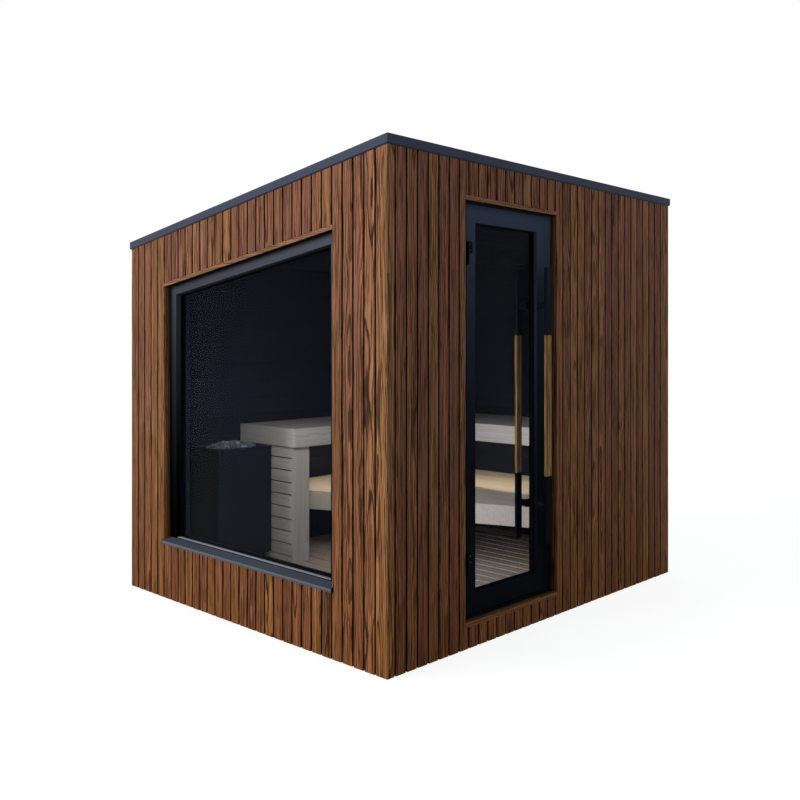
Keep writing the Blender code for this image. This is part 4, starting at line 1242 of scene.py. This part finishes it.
def floor():
    """Slats on bearers, the floor panel, and the base beams."""
    points = corners_of("floor_slats")
    low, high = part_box("floor_slats")
    stock = Stock("floor_grating")
    depth = levels(points, Z)
    slat_low = depth[-2] if high.z - depth[-2] > 0.010 else depth[-3]
    for start, end in spans(near(points, Z, high.z), X):
        stock.plank((start, low.y, slat_low), (end, high.y, high.z), Y, Z, ease=SLAT_EASE)
    for start, end in spans(near(points, Z, low.z), Y):
        stock.plank((low.x + BEARER_SHORT, start, low.z), (high.x - BEARER_SHORT, end, slat_low - SAME), X, Z,
                    ease=HIDDEN_EASE)
    stock.build("cabin", [FLOOR], ["floor_slats"])
    for label in ("left", "middle", "right"):
        stock = Stock("beam_" + label)
        stock.plank(*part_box("base_beam_" + label), Y, Z, ease=0.003)
        stock.build("cabin", [SAWN], ["base_beam_" + label])
    low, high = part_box("floor_panel")
    stock = Stock("floor_boards")
    width = (high.x - low.x) / FLOOR_BOARDS
    for row in range(FLOOR_BOARDS):
        stock.plank((low.x + row * width, low.y, low.z),
                    (low.x + (row + 1) * width - FLOOR_BOARD_GAP, high.y, high.z), Y, Z, ease=0.0015)
    stock.build("cabin", [SAWN], ["floor_panel"])


def fascias(stock, outline, low, high, fronts):
    """Fascia boards mitred round the listed edges of an outline. Gives back the outline inside them."""
    inner = inset(outline, [FASCIA_DEPTH if index in fronts else 0.0 for index in range(len(outline))])
    section = eased([(0.0, low), (FASCIA_DEPTH, low), (FASCIA_DEPTH, high), (0.0, high)], BENCH_EASE)
    for index in fronts:
        following = (index + 1) % len(outline)
        direction = Vector(outline[following]) - Vector(outline[index])
        along = X if abs(direction.x) > abs(direction.y) else Y
        loops = []
        for corner, sign in ((index, 1), (following, -1)):
            (outer_x, outer_y), (inner_x, inner_y) = outline[corner], inner[corner]
            step = direction.normalized() * HAIRLINE * sign
            loop = []
            for (depth, z), _ in section:
                share = depth / FASCIA_DEPTH
                loop.append(Vector((outer_x + (inner_x - outer_x) * share + step.x,
                                    outer_y + (inner_y - outer_y) * share + step.y, z)))
            loops.append(loop)
        stock.skin(loops, along, X + Y - along, [worn for _, worn in section])
    return inner


def clip_plan(outline, axis, start, end):
    """The part of a convex plan outline between two places along an axis."""
    shape = [Vector(point) for point in outline]
    for place, sign in ((start, 1), (end, -1)):
        kept = []
        for index, here in enumerate(shape):
            before = shape[index - 1]
            a, b = (before[axis] - place) * sign, (here[axis] - place) * sign
            if (a < 0) != (b < 0):
                kept.append(before + (here - before) * (a / (a - b)))
            if b >= 0:
                kept.append(here)
        shape = kept
    return shape


def bench(node, name, run, directions):
    """A bench with seat boards along one axis, and fascias on the sides that face these directions."""
    points = corners_of(node)
    low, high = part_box(node)
    outline = plan_outline(near(points, Z, high.z))
    fronts = [index for index, corner in enumerate(outline)
              if edge_shows(corner, outline[(index + 1) % len(outline)], directions)]
    stock = Stock(name)
    inner = fascias(stock, outline, low.z, high.z, fronts)
    across = 1 - run
    start, end = min(point[across] for point in inner), max(point[across] for point in inner)
    count = max(1, round((end - start) / (SEAT_BOARD + SEAT_GAP)))
    pitch = (end - start) / count
    steps = ((high.z - SEAT_DEPTH, 0.0), (high.z - 0.0020, 0.0), (high.z - 0.0004, SEAT_EASE))
    for row in range(count):
        edge = start + row * pitch
        next_edge = start + (row + 1) * pitch
        strip = clip_plan(inner, across, edge + SEAT_GAP / 2, next_edge - SEAT_GAP / 2)
        loops = [[Vector((x, y, z)) for x, y in inset(strip, [shrink] * len(strip))]
                 for z, shrink in steps]
        stock.skin(loops, run, Z)
    stock.build("cabin", [BENCH], [node])


def plan_outline(points):
    """The outer plan corners of a flat convex face, counterclockwise."""
    plan = sorted({(round(point.x, 5), round(point.y, 5)) for point in points})

    def half(row):
        kept = []
        for point in row:
            while len(kept) > 1 and turn(kept[-2], kept[-1], point) <= 1e-7:
                kept.pop()
            kept.append(point)
        return kept[:-1]

    return half(plan) + half(plan[::-1])


def turn(first, second, third):
    """More than 0 where three plan points turn to the left."""
    return ((second[0] - first[0]) * (third[1] - first[1])
            - (second[1] - first[1]) * (third[0] - first[0]))


def edge_shows(start, end, directions):
    """True if an outline's edge faces one of these plan directions."""
    outward = Vector((end[1] - start[1], start[0] - end[0])).normalized()
    return any(outward.dot(Vector(direction)) > 0.6 for direction in directions)


def benches():
    """The three benches, the pier with its post and grooves, and the light strips."""
    bench("upper_bench_rear", "upper_seat_rear", X, [(0, -1), (-1, 0)])
    bench("upper_bench_right", "upper_seat_right", Y, [(-1, 0)])
    bench("lower_bench", "lower_seat", Y, [(-1, 0)])
    points = corners_of("bench_pier")
    low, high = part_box("bench_pier")
    stock = Stock("pier_boards")
    post = low.y + PIER_POST
    stock.plank((low.x, low.y, low.z), (high.x, post, high.z), Z, Y, ease=0.002)
    for start, end in spans(points, Z):
        stock.plank((low.x, post + FIT, start), (high.x, high.y, end), Y, X, ease=0.0015)
    stock.plank((low.x + 0.02, post, low.z + 0.01), (high.x - 0.02, high.y - 0.001, high.z - 0.01), Z,
                ease=HIDDEN_EASE, finish=1)
    stock.build("cabin", [BENCH, LINING], ["bench_pier"])
    for label, run in (("rear", X), ("right", Y)):
        stock = Stock("light_strip_" + label)
        stock.plank(*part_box("bench_light_" + label), run, Z, ease=0.003)
        stock.build("cabin", [GLOW], ["bench_light_" + label])


def rounded_plan(centre, half_width, half_depth, steps=56):
    """A rectangle with generous rounded corners, as a row of plan points."""
    plan = []
    for step in range(steps):
        angle = 2 * pi * step / steps
        across, along = [copysign(abs(value) ** WELL_ROUNDING, value) for value in (cos(angle), sin(angle))]
        plan.append((centre.x + half_width * across, centre.y + half_depth * along))
    return plan


def heater():
    """Sheet-metal case with rounded upright edges, a rim round the stones, and feet."""
    low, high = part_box("heater_body")
    stones_low, stones_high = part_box("heater_stones")
    centre = (stones_low + stones_high) / 2
    case_low = levels(corners_of("heater_body"), Z)[1]
    half_x, half_y = (high.x - low.x) / 2, (high.y - low.y) / 2
    top = high.z - 0.0013
    stock = Stock("heater_case")
    stock.plank((low.x, low.y, case_low), (high.x, high.y, top - RIM_HEIGHT), Z, Y, ease=CASE_ROUNDING)
    well = (stones_high - stones_low) / 2 + Vector((WELL_MARGIN, WELL_MARGIN, 0.0))
    outer = [Vector(corner) for corner in rounded_plan(centre, half_x, half_y)]
    inner = [Vector(corner) for corner in rounded_plan(centre, well.x, well.y)]
    square = []
    for corner in outer:
        reach = corner - centre.xy
        grow = min(half_x / max(abs(reach.x), 1e-6), half_y / max(abs(reach.y), 1e-6))
        square.append(centre.xy + reach * grow)
    rows = [(square, 1.0, -RIM_HEIGHT), (square, 1.0, -0.0015), (square, 0.995, 0.0), (inner, 1.035, 0.0),
            (inner, 1.010, 0.0012), (inner, 1.0, 0.0), (inner, 1.0, -WELL_DEPTH), (inner, 1.035, -WELL_DEPTH)]
    loops = []
    for plan, grow, rise in rows:
        loops.append([Vector((centre.x + (point.x - centre.x) * grow, centre.y + (point.y - centre.y) * grow,
                              top + rise)) for point in plan])
    stock.skin(loops, Z, Y, ring=True)
    for x in (low.x + FOOT_INSET, high.x - FOOT_INSET - FOOT_SIZE):
        for y in (low.y + FOOT_INSET, high.y - FOOT_INSET - FOOT_SIZE):
            stock.plank((x, y, low.z), (x + FOOT_SIZE, y + FOOT_SIZE, case_low), Z, ease=0.002)
    stock.build("cabin", [CASE], ["heater_body"])
    stones(centre, stones_low, stones_high, high.z)


def stones(centre, low, high, rim):
    """A heap of single rough stones, settled in rings from the rim to the crown."""
    stock = Stock("sauna_stones")
    dice = Random("sauna stones")
    reach = (high - low) / 2
    steps = 360
    for number in range(STONE_COUNT):
        size = dice.uniform(STONE_SMALLEST, STONE_LARGEST)
        share = ((number + 0.5) / STONE_COUNT) ** 0.5
        angle = number * GOLDEN_TURN + dice.uniform(-0.25, 0.25)
        plan = rounded_plan(Vector((0.0, 0.0)), reach.x - size * 0.80, reach.y - size * 0.80, steps)
        x, y = plan[int(angle / (2 * pi) * steps) % steps]
        dome = (1 - share ** 2) ** 0.5
        z = rim - 0.016 + (high.z - rim - size * 0.45 + 0.012) * dome
        add_stone(stock, dice, Vector((centre.x + x * share, centre.y + y * share, z)), size)
    stock.build("cabin", [STONE], ["heater_stones"], sharp=35)


def add_stone(stock, dice, place, size):
    """One stone: a ball drawn out three ways, with a few flats broken off."""
    ball = bmesh.new()
    bmesh.ops.create_icosphere(ball, subdivisions=3, radius=1.0)
    stretch = Vector((dice.uniform(0.85, 1.15), dice.uniform(0.70, 1.0), dice.uniform(0.55, 0.80))) * size
    turned_by = dice.uniform(0.0, 2 * pi)
    flats = []
    for _ in range(STONE_FLATS):
        facing = Vector((dice.gauss(0, 1), dice.gauss(0, 1), dice.gauss(0, 1))).normalized()
        flats.append((facing, dice.uniform(0.62, 0.90)))
    start = len(stock.points)
    shift = Vector((dice.uniform(0, 5), dice.uniform(0, 5), dice.uniform(0, 5)))
    tone = dice.random()
    for corner in ball.verts:
        point = corner.co.copy()
        for facing, most in flats:
            over = point.dot(facing) - most
            if over > 0:
                point -= facing * over * 0.9
        point = Vector((point.x * stretch.x, point.y * stretch.y, point.z * stretch.z))
        turned = Vector((point.x * cos(turned_by) - point.y * sin(turned_by),
                         point.x * sin(turned_by) + point.y * cos(turned_by), point.z))
        stock.points.append(place + turned)
        stock.grain.append(point + shift)
        stock.tone.append(tone)
    count = len(ball.verts)
    stock.wear += [0.0] * count
    stock.daylight += [0.0] * count
    stock.faces += [tuple(start + corner.index for corner in face.verts) for face in ball.faces]
    stock.finishes += [0] * len(ball.faces)
    ball.free()


# Stage

WORLD_LIGHT = 0.26
FLOOR_REACH = 30.0
# Name, direction towards the lamp, strength, how wide it is in degrees, and colour
SUNS = (
    ("window side light", (-0.85, 0.40, 0.22), 2.7, 30.0, (1.0, 1.0, 1.0)),
    ("front light", (-0.30, -0.85, 0.35), 0.80, 60.0, (0.82, 0.91, 1.0)),
    ("far side light", (0.80, 0.50, 0.50), 0.8, 60.0, (1.0, 1.0, 1.0)),
)
ROOM_LIGHT = 5.5
ROOM_LIGHT_SIZE = 0.30
ROOM_LIGHT_PLACE = (-1.03, -0.25, 1.30)
ROOM_LIGHT_AIM = (0.05, 0.30, 0.65)


def seen_rays(tree):
    """1 for the rays that show the surroundings: straight on, in gloss and through glass."""
    nodes = Nodes(tree)
    path = tree.nodes.new("ShaderNodeLightPath").outputs
    shown = nodes.math('MAXIMUM', path["Is Camera Ray"], path["Is Glossy Ray"])
    return nodes.math('MAXIMUM', shown, path["Is Transmission Ray"])


def pale_floor():
    """A floor that keeps a faint shadow and looks white round it."""
    material, nodes, shader = new_material("pale floor")
    base = nodes.ramp(nodes.noise(nodes.place(), 3.0), [(0.0, (0.29, 0.29, 0.29)), (1.0, (0.31, 0.31, 0.31))])
    finished(nodes, shader, base, 0.9, 0.0)
    tree = material.node_tree
    seen = seen_rays(tree)
    pale = nodes.add("BsdfDiffuse", {"Color": (0.30, 0.30, 0.30, 1.0)})
    lit = nodes.add("Emission", {"Color": (1.0, 1.0, 1.0, 1.0), "Strength": 0.86})
    bright = nodes.add("AddShader", {0: pale, 1: lit})
    surface = nodes.add("MixShader", {0: seen, 1: tree.nodes["Principled BSDF"].outputs[0], 2: bright})
    nodes.feed(tree.nodes["Material Output"].inputs["Surface"], surface)
    mesh = bpy.data.meshes.new("floor")
    low, high = Vector((-FLOOR_REACH, -FLOOR_REACH)), Vector((FLOOR_REACH, FLOOR_REACH))
    mesh.from_pydata([(x, y, 0.0) for x, y in rectangle(low, high, X, Y)], [], [(0, 1, 2, 3)])
    mesh.materials.append(material)
    ground = placed("floor", mesh)


def surroundings():
    """White to the rays that show them, and a plain pale light to all others."""
    world = bpy.data.worlds.new("white surroundings")
    world.use_nodes = True
    bpy.context.scene.world = world
    tree = world.node_tree
    nodes = Nodes(tree)
    plain = nodes.add("Background", {"Color": (0.88, 0.94, 1.0, 1.0), "Strength": WORLD_LIGHT})
    white = nodes.add("Background", {"Color": (1.0, 1.0, 1.0, 1.0), "Strength": 1.0})
    mixed = nodes.add("MixShader", {0: seen_rays(tree), 1: plain, 2: white})
    nodes.feed(tree.nodes["World Output"].inputs["Surface"], mixed)


def lamps():
    """Three broad soft suns, and a small lamp behind the window that only lights the room."""
    for name, direction, strength, spread, colour in SUNS:
        lamp = bpy.data.lights.new(name, 'SUN')
        lamp.energy = strength
        lamp.color = colour
        lamp.angle = radians(spread)
        item = placed(name, lamp)
        item.rotation_euler = Vector(direction).to_track_quat('Z', 'Y').to_euler()
    lamp = bpy.data.lights.new("room light", 'AREA')
    lamp.energy = ROOM_LIGHT
    lamp.size = ROOM_LIGHT_SIZE
    item = placed("room light", lamp)
    item.location = ROOM_LIGHT_PLACE
    away = Vector(ROOM_LIGHT_PLACE) - Vector(ROOM_LIGHT_AIM)
    item.rotation_euler = away.to_track_quat('Z', 'Y').to_euler()
    item.visible_camera = False
    item.visible_glossy = False
    item.visible_transmission = False


def camera():
    """The photograph's camera."""
    lens = bpy.data.cameras.new("camera")
    lens.sensor_width = CAMERA_SENSOR
    lens.lens = CAMERA_LENS
    lens.shift_x, lens.shift_y = CAMERA_SHIFT
    item = placed("camera", lens)
    item.location = CAMERA_PLACE
    item.rotation_euler = (pi / 2, 0.0, radians(CAMERA_TURN))
    bpy.context.scene.camera = item
    bpy.context.scene.view_settings.view_transform = 'Standard'


def keep_in_view(node, finish):
    """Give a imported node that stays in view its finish."""
    item = frame["nodes"][node]
    item.data.materials.clear()
    item.data.materials.append(finish)


CLAD_PARTS = {
    "front": ("front_left", "front_right", "front_over_door", "front_under_door"),
    "left": ("left_front", "left_rear", "left_over_window", "left_under_window"),
    "right": ("right",),
    "rear": ("rear",),
}


def dress():
    """Every sub-part of the cabin, then the stage."""
    for side, parts in CLAD_PARTS.items():
        for part in parts:
            clad("cladding_" + part, side)
    edge_boards()
    roof()
    window()
    door()
    lining()
    floor()
    benches()
    heater()
    keep_in_view("roof_panel", BACKING)
    pale_floor()
    surroundings()
    lamps()
    camera()


dress()
